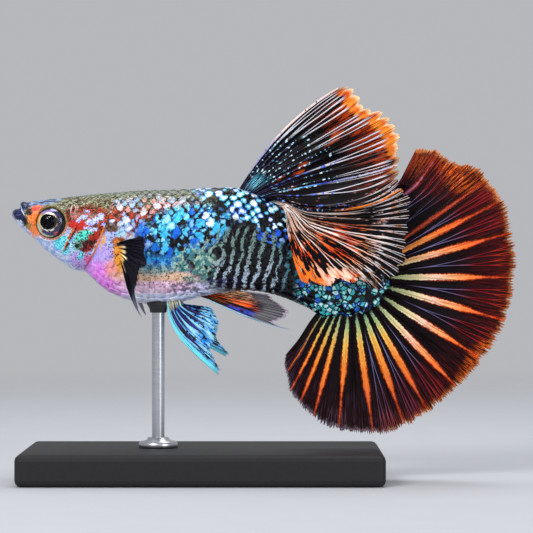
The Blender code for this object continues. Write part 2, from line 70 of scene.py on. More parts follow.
BACK = [(0.9, 0.9), (1.6, 1.12), (3.2, 1.38), (5.4, 1.62), (8.3, 1.92), (11.5, 2.14), (16.0, 2.26),
        (19.5, 2.4), (21.4, 2.4), (24.2, 1.4), (26.6, 0.15), (29.2, -1.3), (31.8, -2.5)]
BELLY = [(0.3, -0.75), (0.55, -0.98), (1.1, -1.52), (1.8, -2.12), (3.2, -3.42), (4.7, -4.52), (5.8, -5.26),
         (6.5, -5.43), (7.05, -5.55), (7.6, -6.0), (8.3, -6.63), (9.1, -7.22), (10.4, -7.85), (13.0, -8.48),
         (14.8, -8.48), (18.3, -7.75), (20.7, -7.28), (22.6, -7.08), (25.1, -7.5), (27.2, -8.22),
         (28.9, -8.95)]
HALF_WIDTH = [(0.5, 1.05), (1.2, 1.35), (2.4, 1.8), (4.0, 2.25), (6.5, 2.7), (9.5, 2.95), (14.0, 3.0),
              (18.0, 2.75), (22.0, 2.3), (26.0, 1.75), (29.5, 1.15), (32.0, 0.5)]
RINGS = [(0.00, 0.55, 1.15, 0.0), (0.10, 2.9, 3.5, 0.0), (0.24, 6.9, 9.6, 0.65), (0.45, 13.6, 14.2, 0.1),
         (0.75, 22.4, 24.2, 0.0), (1.00, 28.9, 31.8, 0.0)]  # share, belly end, back end, bow
FAN_CENTRE = (32.2, -6.0)       # where the rays of the tail fin meet
FAN_ROOT_RADIUS = 3.4
FAN_ROOT = (-137.0, 95.0)       # degrees over the line straight back
FAN_ROOT_HALF_THICK = 0.4

EYE_CENTRE = (3.86, 1.62, -0.88)
EYE_RADIUS = 1.45
EYE_HALF_DEPTH = 1.0
EYE_TURN = 10.0
SOCKET_GAP = -0.03              # the skin laps over the edge of the eye
ORBIT_RIM = (1.60, 0.17)        # radius of the raised rim, and of its own roundness
ORBIT_RIM_SINK = 0.03
ORBIT_RIM_STEPS = 72
MOUTH_CORNER = (1.65, 1.15, -0.5)
UPPER_LIP = ((1.12, 0.86), (0.25, 0.34))  # foremost point, and radius at the corner and in front
LOWER_LIP = ((0.53, -0.02), (0.32, 0.52))
CHIN = ((0.68, -0.48), (0.3, 0.42))
MOUTH_SLIT = ((0.93, 0.5), (0.12, 0.2))
LIP_SQUARENESS = 0.7            # 1 for a mouth that is oval from above, less for a squarer one
LIP_END = 0.45                  # how thick a lip is at its very end, as a share
NOSTRIL = (2.05, 0.85, 0.95)
NOSTRIL_RADIUS = 0.17


def ease(low, high, value):
    """0 up to low, 1 from high, and a smooth step between."""
    share = np.clip((np.asarray(value, float) - low) / (high - low), 0.0, 1.0)
    return share * share * (3.0 - 2.0 * share)


def between(start, end, share):
    return start + (end - start) * share


def curve_through(stations, column, value):
    """A smooth curve through one column of the stations, against their first column."""
    table = np.array(stations, float)
    x, y = table[:, 0], table[:, column]
    steps = np.diff(y) / np.diff(x)
    slope = np.empty_like(y)
    slope[1:-1] = (steps[:-1] * np.diff(x)[1:] + steps[1:] * np.diff(x)[:-1]) / (x[2:] - x[:-2])
    slope[0], slope[-1] = steps[0], steps[-1]
    value = np.clip(np.asarray(value, float), x[0], x[-1])
    i = np.clip(np.searchsorted(x, value) - 1, 0, len(x) - 2)
    span = x[i + 1] - x[i]
    t = (value - x[i]) / span
    return ((1 + 2 * t) * (1 - t) ** 2 * y[i] + t * (1 - t) ** 2 * span * slope[i]
            + t * t * (3 - 2 * t) * y[i + 1] + t * t * (t - 1) * span * slope[i + 1])


def fan_root_radius(angle):
    return FAN_ROOT_RADIUS * (1.0 + 0.33 * ease(100.0, 137.0, -np.asarray(angle, float)))


def ring(share, height):
    """Behind the lip, over it, and half width, at heights from the belly, -1, to the back, 1."""
    low_x = float(curve_through(RINGS, 1, share))
    high_x = float(curve_through(RINGS, 2, share))
    low_z = float(curve_through(BELLY, 1, low_x))
    high_z = float(curve_through(BACK, 1, high_x))
    up = (height + 1.0) / 2.0
    x = between(low_x, high_x, up) + float(curve_through(RINGS, 3, share)) * (1.0 - height**2)
    z = between(low_z, high_z, up)
    swell = float(ease(CAVITY_END - 0.1, 1.0, share)) ** 1.5
    angle = between(*FAN_ROOT, up)
    reach = fan_root_radius(angle)
    x = x * (1.0 - swell) + (FAN_CENTRE[0] + reach * np.cos(np.radians(angle))) * swell
    z = z * (1.0 - swell) + (FAN_CENTRE[1] + reach * np.sin(np.radians(angle))) * swell
    fullness = np.where(height > 0, 2.5 - 0.5 * ease(0.1, 0.5, share), 2.05)
    side = np.sqrt(np.clip(1.0 - np.abs(height) ** fullness, 0.0, 1.0))
    width = float(curve_through(HALF_WIDTH, 1, (low_x + high_x) / 2.0)) * side
    flat = FAN_ROOT_HALF_THICK * np.clip((1.0 - np.abs(height)) * 12.0, 0.0, 1.0)
    flatten = float(ease(FAN_FLATTENING_START, 1.0, share))
    cover = GILL_COVER_LIFT * ease(GILL_COVER_START, GILL_EDGE, share) if share <= GILL_EDGE else (
        -GILL_GROOVE * math.exp(-(share - GILL_EDGE) / GILL_GROOVE_LENGTH))
    return x, z, width * (1.0 - flatten) + flat * flatten + cover * np.clip(1.0 - height**4, 0.0, 1.0) * side


def scaled(share, height):
    """1 where the fish carries scales, 0 on the bare parts of the head."""
    nape = ease(0.10, 0.13, share) * ease(0.55, 0.75, height)
    return np.maximum(ease(GILL_EDGE + 0.005, GILL_EDGE + 0.02, share), nape)


# The grid of the body's left side: rings from the mouth to the tail fin, turns from the belly to the back
ring_shares = np.linspace(0.0, 1.0, 361)
ring_heights = np.sin(np.linspace(-math.pi / 2, math.pi / 2, 141))
flank = np.array([np.stack(ring(share, ring_heights), axis=1)[:, [0, 2, 1]] for share in ring_shares])
flank[..., 1] *= -1.0
along_body, round_body = np.gradient(flank, axis=0), np.gradient(flank, axis=1)
outward = np.cross(along_body, round_body)
outward /= np.maximum(np.linalg.norm(outward, axis=2, keepdims=True), 1e-9)
coat = between(BARE_DEPTH, COAT_DEPTH, np.array([scaled(s, ring_heights) for s in ring_shares]))
skin_grid = flank - outward * coat[..., None]
skin_grid[:, [0, -1], 1] = 0.0

# How a scale counts its place: rows from the back to the belly, and scales along a row
SCALE_ROWS = 20
SCALE_ROW_PITCH = 0.6
SCALE_PITCH = 0.92
arc = np.cumsum(np.linalg.norm(np.diff(flank, axis=1), axis=2), axis=1)
arc = np.concatenate([np.zeros((len(arc), 1)), arc], axis=1)
row_number = SCALE_ROWS * (1.0 - arc / arc[:, -1:])
middle = len(ring_heights) // 2
length_so_far = np.concatenate([[0.0], np.cumsum(np.linalg.norm(np.diff(flank[:, middle], axis=0), axis=1))])
scale_number = length_so_far / SCALE_PITCH


def in_frame(points):
    """From the fish's millimetres to the frame's metres."""
    return (np.asarray(points, float) + (LIP_TIP[0], 0.0, LIP_TIP[1])) * MM


def mesh_piece(name, points, faces):
    mesh = bpy.data.meshes.new(name)
    mesh.from_pydata([tuple(p) for p in points], [], faces)
    made = bpy.data.objects.new(name, mesh)
    bpy.context.scene.collection.objects.link(made)
    return made


def store(mesh, **columns):
    """Stores three numbers at each point of a mesh, under each name."""
    for name, values in columns.items():
        mesh.attributes.new(name, "FLOAT_VECTOR", "POINT").data.foreach_set("vector", np.ravel(values))


def turned_outwards(piece):
    work = bmesh.new()
    work.from_mesh(piece.data)
    bmesh.ops.recalc_face_normals(work, faces=work.faces)
    work.to_mesh(piece.data)
    work.free()
    return piece


def circle(steps):
    """The cosine and sine of even steps round a circle."""
    return [(math.cos(turn), math.sin(turn)) for turn in (2 * math.pi * k / steps for k in range(steps))]


def row_faces(rows, around, first=0, closed=False):
    """Faces between rows of points, each row once round. Closed rows join the last to the first."""
    faces = []
    for i in range(rows if closed else rows - 1):
        here, there = first + i * around, first + (i + 1) % rows * around
        for k in range(around):
            after = (k + 1) % around
            faces.append((here + k, here + after, there + after, there + k))
    return faces


def body_shell(grid):
    rings, turns = grid.shape[:2]
    mirrored = grid[:, -2:0:-1] * (1.0, -1.0, 1.0)
    points = np.concatenate([grid, mirrored], axis=1)
    around = points.shape[1]
    faces = row_faces(rings, around)
    for start in (0, (rings - 1) * around):
        for k in range(turns - 1):
            corners = [k, k + 1, (around - k - 1) % around, (around - k) % around]
            faces.append(tuple(dict.fromkeys(start + c for c in corners)))
    return turned_outwards(mesh_piece("skin", points.reshape(-1, 3), faces))


def tube(centres, radii, upright, sides=18, closed=False):
    """A tube of changing radius along a path that never runs along upright."""
    centres = [Vector(c) for c in centres]
    count, points = len(centres), []
    for i, centre in enumerate(centres):
        before = centres[(i - 1) % count] if closed or i else centre
        after = centres[(i + 1) % count] if closed or i < count - 1 else centre
        heading = (after - before).normalized()
        side = heading.cross(Vector(upright)).normalized()
        up = side.cross(heading).normalized()
        points += [centre + (side * cos + up * sin) * radii[i] for cos, sin in circle(sides)]
    faces = row_faces(count, sides, closed=closed)
    if not closed:
        faces += [tuple(range(sides)), tuple(range((count - 1) * sides, count * sides))]
    return turned_outwards(mesh_piece("tube", points, faces))


def lip(front, radii, steps=44):
    centres, widths = [], []
    for k in range(steps + 1):
        turn = math.pi * (k / steps - 0.5)
        near = math.cos(turn) ** LIP_SQUARENESS if k not in (0, steps) else 0.0
        centres.append((between(MOUTH_CORNER[0], front[0], near), MOUTH_CORNER[1] * math.sin(turn),
                        between(MOUTH_CORNER[2], front[1], near)))
        ends = between(LIP_END, 1.0, math.sin(3.0 * math.pi * min(k, steps - k, steps / 6) / steps))
        widths.append(between(*radii, near) * ends)
    return tube(centres, widths, (0, 0, 1))


def egg(place, radii, segments=48, rings=24):
    """An egg with its poles along the second axis of its place."""
    bpy.ops.mesh.primitive_uv_sphere_add(segments=segments, ring_count=rings, radius=1.0)
    made = bpy.context.object
    across, depth = radii
    upright = Matrix.Rotation(math.pi / 2, 4, "X")
    made.data.transform(place @ Matrix.Diagonal((across, depth, across, 1.0)) @ upright)
    return made


def eye_place(side):
    centre = Matrix.Translation((EYE_CENTRE[0], side * EYE_CENTRE[1], EYE_CENTRE[2]))
    return centre @ Matrix.Rotation(side * math.radians(EYE_TURN), 4, "Z")


def carve(target, others, operation):
    for other in others:
        change = target.modifiers.new("carve", "BOOLEAN")
        change.operation = operation
        change.object = other
        change.solver = "MANIFOLD"
        finished(target)
        bpy.data.objects.remove(other, do_unlink=True)


def finished(piece):
    """Turns what the piece's modifiers make into its own plain mesh."""
    graph = bpy.context.evaluated_depsgraph_get()
    mesh = bpy.data.meshes.new_from_object(piece.evaluated_get(graph))
    piece.modifiers.clear()
    piece.data = mesh
    return piece


# Half of the body's width over the whole side view, evened out from the grid's points
VIEW_STEP = 0.1
VIEW_CORNER = (-2.0, -14.0)
VIEW_STEPS = (400, 200)
width_sum, width_count = np.zeros(VIEW_STEPS), np.zeros(VIEW_STEPS)
cells = np.round((flank[..., [0, 2]].reshape(-1, 2) - VIEW_CORNER) / VIEW_STEP).astype(int)
np.add.at(width_sum, tuple(cells.T), -flank[..., 1].ravel())
np.add.at(width_count, tuple(cells.T), 1.0)
for _ in range(2):
    for axis in (0, 1):
        width_sum = sum(np.roll(width_sum, k, axis) for k in (-1, 0, 1)) / 3
        width_count = sum(np.roll(width_count, k, axis) for k in (-1, 0, 1)) / 3
width_map = np.where(width_count > 0.02, width_sum / np.maximum(width_count, 1e-9), 0.0)


def half_width(x, z):
    a = np.clip((np.asarray(x, float) - VIEW_CORNER[0]) / VIEW_STEP, 0, VIEW_STEPS[0] - 2)
    b = np.clip((np.asarray(z, float) - VIEW_CORNER[1]) / VIEW_STEP, 0, VIEW_STEPS[1] - 2)
    i, k = a.astype(int), b.astype(int)
    s, t = a - i, b - k
    return ((width_map[i, k] * (1 - s) + width_map[i + 1, k] * s) * (1 - t)
            + (width_map[i, k + 1] * (1 - s) + width_map[i + 1, k + 1] * s) * t)


skin = body_shell(skin_grid)
rims = []
for side in (-1, 1):
    rim = []
    for cos, sin in circle(ORBIT_RIM_STEPS):
        x, z = EYE_CENTRE[0] + ORBIT_RIM[0] * cos, EYE_CENTRE[2] + ORBIT_RIM[0] * sin
        rim.append((x, side * (float(half_width(x, z)) - ORBIT_RIM_SINK), z))
    rims.append(tube(rim, [ORBIT_RIM[1]] * len(rim), (0, 1, 0), closed=True))
carve(skin, [lip(*UPPER_LIP), lip(*LOWER_LIP), lip(*CHIN)] + rims, "UNION")
hollows = [lip(*MOUTH_SLIT)]
for side in (-1, 1):
    hollows.append(egg(eye_place(side), (EYE_RADIUS + SOCKET_GAP, EYE_HALF_DEPTH + SOCKET_GAP)))
    nostril = Matrix.Translation((NOSTRIL[0], side * NOSTRIL[1], NOSTRIL[2]))
    hollows.append(egg(nostril, (NOSTRIL_RADIUS, NOSTRIL_RADIUS), 20, 12))
carve(skin, hollows, "DIFFERENCE")
melt = skin.modifiers.new("melt", "REMESH")
melt.mode = "VOXEL"
melt.voxel_size = GRAIN
melt.use_smooth_shade = True
settle = skin.modifiers.new("settle", "SMOOTH")
settle.factor = 0.5
settle.iterations = 5
finished(skin)


SIDES_MEET = 0.4                # half of the strip in which the markings of the two sides meet


def mark_lie(mesh):
    """Stores where each point lies on the fish: as "lie" the scale's number along its row, the row's
    number and the side, and as "ring" the share of the body and the height on its ring."""
    grid_points = kdtree.KDTree(skin_grid.shape[0] * skin_grid.shape[1])
    for number, point in enumerate(skin_grid.reshape(-1, 3)):
        grid_points.insert(point, number)
    grid_points.balance()
    turns = len(ring_heights)
    lie, on_ring = [], []
    for vertex in mesh.vertices:
        x, y, z = vertex.co
        found = grid_points.find_n((x, -abs(y), z), 4)
        weights = np.array([1.0 / (away + 0.01) ** 2 for _, _, away in found])
        weights /= weights.sum()
        i = np.array([n // turns for _, n, _ in found])
        k = np.array([n % turns for _, n, _ in found])
        side = float(np.clip(-y / SIDES_MEET, -1.0, 1.0))
        lie.append((weights @ scale_number[i], weights @ row_number[i, k], side))
        on_ring.append((weights @ ring_shares[i], weights @ ring_heights[k], 0.0))
    store(mesh, lie=lie, ring=on_ring)


TO_FRAME = Matrix.Diagonal((MM, MM, MM, 1.0)) @ Matrix.Translation((LIP_TIP[0], 0.0, LIP_TIP[1]))
mark_lie(skin.data)
skin.data.transform(TO_FRAME)


class Wire:
    """An output of a node. Python's operators on it add Math nodes."""

    def __init__(self, tree, socket):
        self.tree = tree
        self.socket = socket

    def math(self, operation, *others):
        return self.tree.node("ShaderNodeMath", {"operation": operation}, [self, *others])

    def __add__(self, other):
        return self.math("ADD", other)

    def __sub__(self, other):
        return self.math("SUBTRACT", other)

    def __rsub__(self, other):
        return self.math("MULTIPLY", -1.0).math("ADD", other)

    def __mul__(self, other):
        return self.math("MULTIPLY", other)

    def __truediv__(self, other):
        return self.math("DIVIDE", other)

    def __or__(self, other):
        """The larger of the two, which joins two masks."""
        return self.math("MAXIMUM", other)

    def __abs__(self):
        return self.math("ABSOLUTE")

    __radd__, __rmul__ = __add__, __mul__


def tone(red, green, blue):
    """A colour as it looks on a screen, from 0 to 1, turned into what a shader reads."""
    linear = [c / 12.92 if c <= 0.04045 else ((c + 0.055) / 1.055) ** 2.4 for c in (red, green, blue)]
    return (*linear, 1.0)


class NodeTree:
    """A tree of nodes under construction. A colour of three numbers is given as it looks on a screen."""

    def __init__(self, tree):
        self.tree = tree

    def node(self, kind, settings=None, inputs=(), output=0):
        """Adds a node: its settings first, then the values or wires of its sockets, in a list where a
        socket takes more than one wire. Gives an output."""
        made = self.tree.nodes.new(kind)
        for key, value in (settings or {}).items():
            if key == "stops":
                self.set_stops(made.color_ramp, value)
            else:
                setattr(made, key, value)
        for key, value in (inputs.items() if isinstance(inputs, dict) else enumerate(inputs)):
            socket = made.inputs[key]
            for wire in value if isinstance(value, list) else [value]:
                if isinstance(wire, Wire):
                    self.tree.links.new(wire.socket, socket)
                else:
                    socket.default_value = tone(*wire) if socket.type == "RGBA" and len(wire) == 3 else wire
        return Wire(self, made.outputs[output])

    def set_stops(self, ramp, stops):
        while len(ramp.elements) < len(stops):
            ramp.elements.new(1.0)
        for element, (position, colour) in zip(ramp.elements, stops):
            element.position = position
            element.color = tone(*colour)

    def vector(self, x=0.0, y=0.0, z=0.0):
        return self.node("ShaderNodeCombineXYZ", None, [x, y, z])

    def parts(self, wire):
        """Every output of the node that a wire comes from."""
        return [Wire(self, socket) for socket in wire.socket.node.outputs]

    def split(self, vector):
        return self.parts(self.node("ShaderNodeSeparateXYZ", None, [vector]))

    def channels(self, colour):
        return self.parts(self.node("ShaderNodeSeparateColor", None, [colour]))


class Finish(NodeTree):
    """A material under construction, on the shader that a new material has."""

    def __init__(self, name, **constants):
        self.material = bpy.data.materials.new(name)
        self.material.use_nodes = True
        super().__init__(self.material.node_tree)
        self.shader = self.tree.nodes["Principled BSDF"]
        for socket, value in constants.items():
            self.shader.inputs[socket.replace("_", " ")].default_value = value

    def place(self):
        """Millimetres behind the lip, beside the middle and over the lip."""
        spot = self.node("ShaderNodeTexCoord", output="Object")
        return self.node("ShaderNodeVectorMath", {"operation": "MULTIPLY_ADD"},
                         [spot, (1 / MM,) * 3, (-LIP_TIP[0], 0.0, -LIP_TIP[1])])

    def stored(self, name):
        return self.split(self.node("ShaderNodeAttribute", {"attribute_name": name}, output="Vector"))

    def noise(self, vector, scale, detail=2.0, rough=0.5, distort=0.0, output="Fac"):
        return self.node("ShaderNodeTexNoise", None, {"Vector": vector, "Scale": scale, "Detail": detail,
                                                      "Roughness": rough, "Distortion": distort}, output)

    def fused(self, a, b, c):
        """a * b + c, without a node where b is nothing."""
        return c if b == 0.0 else self.node("ShaderNodeMath", {"operation": "MULTIPLY_ADD"}, [a, b, c])

    def moved(self, numbers, noise, amount):
        """Numbers pushed about by the channels of a coloured noise."""
        return [self.fused(channel, amount, number - amount / 2)
                for number, channel in zip(numbers, self.channels(noise))]

    def rise(self, value, low, high):
        """0 up to low, 1 from high, and a smooth step between. It falls where low is over high."""
        return self.node("ShaderNodeMapRange", {"interpolation_type": "SMOOTHSTEP"},
                         {"Value": value, "From Min": low, "From Max": high})

    def oval(self, spot, x, z, half_length, half_height, turn=0.0):
        """The square of how far a pair of numbers lies out of an oval's middle, 1 on its outline."""
        cos, sin = math.cos(math.radians(turn)), math.sin(math.radians(turn))
        squares = 0.0
        for a, b, size in ((cos, sin, half_length), (-sin, cos, half_height)):
            a, b = round(a, 6) / size, round(b, 6) / size
            reach = self.fused(spot[0], a, self.fused(spot[1], b, -(a * x + b * z)))
            squares = self.fused(reach, reach, squares)
        return squares

    def patch(self, spot, x, z, half_length, half_height, turn=0.0, soft=0.3):
        """1 inside an oval, 0 outside, and a soft edge between."""
        inside = self.oval(spot, x, z, half_length, half_height, turn)
        return self.rise(inside, (1.0 + soft) ** 2, (1.0 - soft) ** 2)

    def mix(self, mask, under, over, blend="MIX"):
        return self.node("ShaderNodeMix", {"data_type": "RGBA", "blend_type": blend, "clamp_result": False},
                         {0: mask, 6: under, 7: over}, 2)

    def on(self, colour, over, mask, strength=1.0):
        """A colour with another laid over it where the mask is 1."""
        return self.mix(mask * strength if strength != 1.0 else mask, colour, over)

    def dabs(self, colour, spot, dabs):
        """A colour under dabs of other colours, each given with the place of its patch."""
        for over, *where in dabs:
            colour = self.on(colour, over, self.patch(spot, *where))
        return colour

    def two_tone(self, pattern, first, second, low=0.42, high=0.58):
        return self.mix(self.rise(pattern, low, high), first, second)

    def ramp(self, value, *stops):
        return self.node("ShaderNodeValToRGB", {"stops": stops}, [value])

    def brushes(self):
        """What a painting calls at every step."""
        return self.mix, self.on, self.rise

    def set(self, socket, wire):
        self.tree.links.new(wire.socket, self.shader.inputs[socket])

    def tinted(self, pattern, first, second):
        self.set("Base Color", self.mix(pattern, first, second))

    def bump(self, height, depth):
        """Raises the surface by a height from 0 to 1, up to a depth in millimetres."""
        self.set("Normal", self.node("ShaderNodeBump", None, {"Height": height, "Distance": depth * MM}))


def scale_cells(lie, radius, squat):
    """Which scale a point lies on. Gives how deep it is in the round patch in the scale's middle, in
    millimetres, three random numbers of that scale, and 0 on its edge. Rows are squat millimetres apart."""
    u, v, side = lie

    def nearest(u, v):
        column, row = u.math("ROUND"), (v * 0.5).math("ROUND")
        across, down = (u - column) * SCALE_PITCH, (v - row * 2.0) * squat
        return across * across + down * down, column, row

    even, column, row = nearest(u, v)
    odd, odd_column, odd_row = nearest(u + 0.5, v + 1.0)
    first = even.math("LESS_THAN", odd)
    # the odd numbers below scramble a scale's place into chances
    number = (column * 12.9898 + row * 78.233) * first
    number = number + (odd_column * 39.425 + odd_row * 26.651) * (1.0 - first) + side.math("SIGN") * 4.7
    one, two, three = (((number * turn).math("SINE") * 437.5).math("FRACT") for turn in (1.0, 1.7, 2.3))
    away = even.math("MINIMUM", odd).math("SQRT")
    return radius * (0.6 + 0.6 * three) - away, one, two, three, abs(even - odd)


LIGHT_RADIUS = 0.37             # of the light patch in the middle of a scale
LIGHT_SQUAT = 0.52              # from one row of them to the next
LIGHT_SQUAT_MIDDLE = 0.46       # the same in the middle of the flank


class FishFinish(Finish):
    """The fish's material, for skin and scales alike, with the patterns that its markings share."""

    def __init__(self, name, **constants):
        super().__init__(name, **constants)
        noise, moved, rise = self.noise, self.moved, self.rise
        place = self.place()
        self.x, self.y, self.z = self.split(place)
        self.share, self.height, _ = self.stored("ring")
        drift = noise(place, 0.9, 3.0, output="Color")
        ruffle = noise(place, 2.6, 4.0, 0.65, output="Color")
        crinkle = noise(place, 6.5, 3.0, 0.6, output="Color")
        self.mottle = noise(place, 2.3, 4.0, 0.6)
        self.lump = noise(place, 1.5, 2.0, 0.5)
        self.fine = noise(place, 7.0, 3.0, 0.6)
        self.weave = noise(place, 0.6, 2.0)
        self.breaks = noise(place, 1.9, 3.0)
        self.brush = noise(self.vector(self.x * 3.2, self.y, self.z * 0.8), 1.5, 2.0)
        self.snout_brush = noise(self.vector(self.x * 0.5, self.y, self.z * 3.0), 2.6, 3.0)

        # places in the side view, pushed about more and less
        self.spot = (self.x, self.z)
        self.loose = moved(self.spot, drift, 1.3)
        self.fray = moved(self.spot, ruffle, 0.85)
        self.calm = moved(self.spot, ruffle, 0.3)
        self.torn = moved(moved(self.spot, ruffle, 0.6), crinkle, 0.55)
        self.fx, self.fz = self.fray

        # dots, scribbled lines, and pebbles with their distance to the edge and their chances
        dots = self.node("ShaderNodeTexVoronoi", None, {"Vector": place, "Scale": 4.6}, "Distance")
        self.dot_mask = rise(dots, 0.36, 0.24)
        worm = noise(place, 1.7, 2.0, 0.5, 1.6)
        self.scribble = rise(abs(worm - 0.5), 0.026, 0.010)
        self.pale_scribble = rise(abs(worm - 0.43), 0.024, 0.008)
        wavy = self.node("ShaderNodeVectorMath", {"operation": "MULTIPLY_ADD"}, [crinkle, (0.35,) * 3, place])
        laid_out = {"Vector": wavy, "Scale": 2.1}
        to_edge = {"feature": "DISTANCE_TO_EDGE"}
        self.pebbles = self.node("ShaderNodeTexVoronoi", to_edge, laid_out, "Distance")
        from_pebble, pebble_number, *_ = self.parts(self.node("ShaderNodeTexVoronoi", None, laid_out))
        self.chance, self.other_chance, *_ = self.channels(pebble_number)
        self.rounded = rise(from_pebble, 0.70, 0.60)

        # the light in the middle of each scale, its chances, and the dark net between scales
        lie = self.stored("lie")
        self.mid_flank = self.patch(self.fray, 16.2, -1.6, 4.6, 2.3, 14.0, 0.15)
        steady = 1.0 - rise(self.height, 0.45, 0.72) * 0.75
        pushed = moved(moved(moved(lie, drift, 1.5), ruffle, 0.7), crinkle, 0.35)
        ragged = [number + (shifted - number) * steady for number, shifted in zip(lie, pushed)]
        squat = LIGHT_SQUAT - self.mid_flank * (LIGHT_SQUAT - LIGHT_SQUAT_MIDDLE)
        self.depth, self.one, self.two, self.three, seam = scale_cells(ragged, LIGHT_RADIUS, squat)
        self.net = rise(seam + (self.fine - 0.5) * 0.10, 0.12, 0.04)
        self.back = self.back_colour()

    def back_colour(self):
        """Olive and brown, with a pale middle and a dark edge to each scale."""
        mix, on, rise = self.brushes()
        two_tone = self.two_tone
        colour = two_tone(self.mottle, (0.38, 0.27, 0.15), (0.60, 0.61, 0.44), 0.4, 0.6)
        colour = mix(rise(self.fz, 1.3, 2.1) * 0.7, colour, (0.50, 0.55, 0.54))
        colour = on(colour, (0.68, 0.71, 0.62), rise(self.depth, 0.05, 0.25) * rise(self.one, 0.3, 0.9), 0.6)
        colour = on(colour, (0.11, 0.08, 0.05), self.net, 0.9)
        return colour

    def belly_and_flank(self):
        """White and pink below, azure and ember on the flank, olive above, black to the rear."""
        mix, on, rise = self.brushes()
        patch, two_tone, dabs = self.patch, self.two_tone, self.dabs
        # the belly's own pale blue-white, laid on lighter than it is as painted light from below
        colour = two_tone(self.mottle, (0.76, 0.80, 0.97), (0.97, 0.98, 1.0), 0.3, 0.7)
        colour = on(colour, (0.74, 0.66, 0.95), patch(self.loose, 8.4, -4.8, 1.9, 2.4, soft=0.5))
        colour = dabs(colour, self.fray, [
            (two_tone(self.mottle, (0.90, 0.40, 0.93), (0.93, 0.66, 0.95), 0.3, 0.7),
             9.1, -6.2, 1.9, 1.0, -38.0, 0.6),
            ((0.97, 0.62, 0.62), 9.9, -5.2, 0.8, 0.7, 0.0, 0.6),
            ((0.93, 0.76, 0.64), 13.8, -6.0, 3.6, 0.75, 0.0, 0.5),
            (two_tone(self.mottle, (0.93, 0.68, 0.84), (0.97, 0.90, 0.97), 0.3, 0.7),
             13.8, -6.95, 3.2, 0.5, 0.0, 0.6),
        ])
        azure = two_tone(self.lump, (0.04, 0.34, 0.74), (0.18, 0.66, 0.97), 0.38, 0.52)
        grey_green = two_tone(self.lump, (0.30, 0.50, 0.55), (0.62, 0.74, 0.72))
        azure = mix(rise(self.fz, -4.3, -5.4), azure, grey_green)
        colour = on(colour, azure, patch(self.fray, 14.0, -4.2, 2.9, 1.5, 4.0, soft=0.3))
        ember = two_tone(self.mottle, (0.30, 0.10, 0.05), (0.82, 0.26, 0.07))
        ember = mix(rise(self.fx, 13.5, 17.0), ember, (0.40, 0.20, 0.14))
        colour = on(colour, ember, patch(self.fray, 12.2, -0.1, 5.4, 1.9, 4.0, soft=0.2))
        up_to_back = self.height + (self.mottle - 0.5) * 0.3 + rise(self.x, 12.0, 8.0) * 0.12
        colour = on(colour, self.back, rise(up_to_back, 0.60, 0.78))
        night = patch(self.fray, 24.6, -1.8, 9.2, 6.4, soft=0.08)
        night = night * (1.0 - rise(self.fz, 1.1, 1.7) * rise(self.fx, 21.0, 17.5))
        night = night | self.mid_flank | rise(self.fx, 21.5, 24.0)
        colour = on(colour, two_tone(self.mottle, (0.01, 0.01, 0.03), (0.05, 0.08, 0.28), 0.58, 0.78), night)
        return colour

    def light_patches(self, colour):
        """One to a scale, pale in the middle, and a little metallic where they are cool."""
        mix, on, rise = self.brushes()
        patch = self.patch
        depth = self.depth + (self.lump - 0.5) * 0.5
        cell = rise(depth, -0.02, 0.03)
        core = rise(depth, 0.04, 0.20)
        warm_zone = patch(self.fray, 13.0, -0.05, 5.8, 1.75, 4.0, soft=0.15) * rise(self.share, 0.20, 0.26)
        colour = on(colour, (0.09, 0.03, 0.03), self.net * warm_zone, 0.9)
        warm_light = mix(rise(self.two, 0.55, 0.65), (0.55, 0.72, 0.95), (0.93, 0.62, 0.62))
        warm_light = mix(core * rise(self.three, 0.2, 0.5), warm_light, (0.90, 0.92, 0.99))
        warm_light = mix(rise(self.fz, 0.9, 1.6) * 0.5, warm_light, (0.60, 0.56, 0.50))
        lit = self.one.math("GREATER_THAN", 0.18)
        colour = on(colour, warm_light, cell * warm_zone * (1.0 - self.mid_flank) * lit)
        white_zone = patch(self.fray, 22.4, 0.95, 5.5, 1.75, -20.0, soft=0.15)
        blue_zone = patch(self.fray, 25.2, -1.6, 1.9, 1.5, 0.0, soft=0.2)
        saddle = patch(self.fray, 28.3, -1.7, 3.6, 1.15, -34.0, 0.2)
        cool_zone = self.mid_flank | white_zone | blue_zone | saddle
        cool_rim = mix(rise(self.two, 0.2, 0.6), (0.08, 0.42, 0.88), (0.25, 0.76, 0.95))
        cool_rim = mix(blue_zone * (1.0 - white_zone), cool_rim, (0.12, 0.36, 0.88))
        cool_core = mix(rise(self.three + white_zone * 0.5, 0.3, 0.9), (0.50, 0.90, 0.98), (0.95, 1.0, 1.0))
        whiteness = core * rise(self.one + white_zone * 0.7 - blue_zone * 0.2, 0.50, 0.85)
        whiteness = whiteness * rise(self.fz, -3.8, -1.6)
        cool_light = mix(whiteness, cool_rim, cool_core)
        small = rise(self.pebbles, 0.05, 0.10) * rise(self.other_chance, 0.36, 0.40) * self.rounded
        small_tone = mix(self.chance, (0.04, 0.24, 0.62), (0.26, 0.72, 0.88))
        small_tone = mix(rise(self.pebbles, 0.12, 0.28) * self.chance, small_tone, (0.70, 0.95, 1.0))
        colour = on(colour, small_tone, small * self.mid_flank)
        cool_mask = rise(depth - blue_zone * 0.07, -0.02, 0.03) * cool_zone
        cool_mask = cool_mask * self.one.math("GREATER_THAN", 0.26)
        colour = on(colour, cool_light, cool_mask)
        self.set("Metallic", cool_mask * 0.3 + 0.03)
        return colour

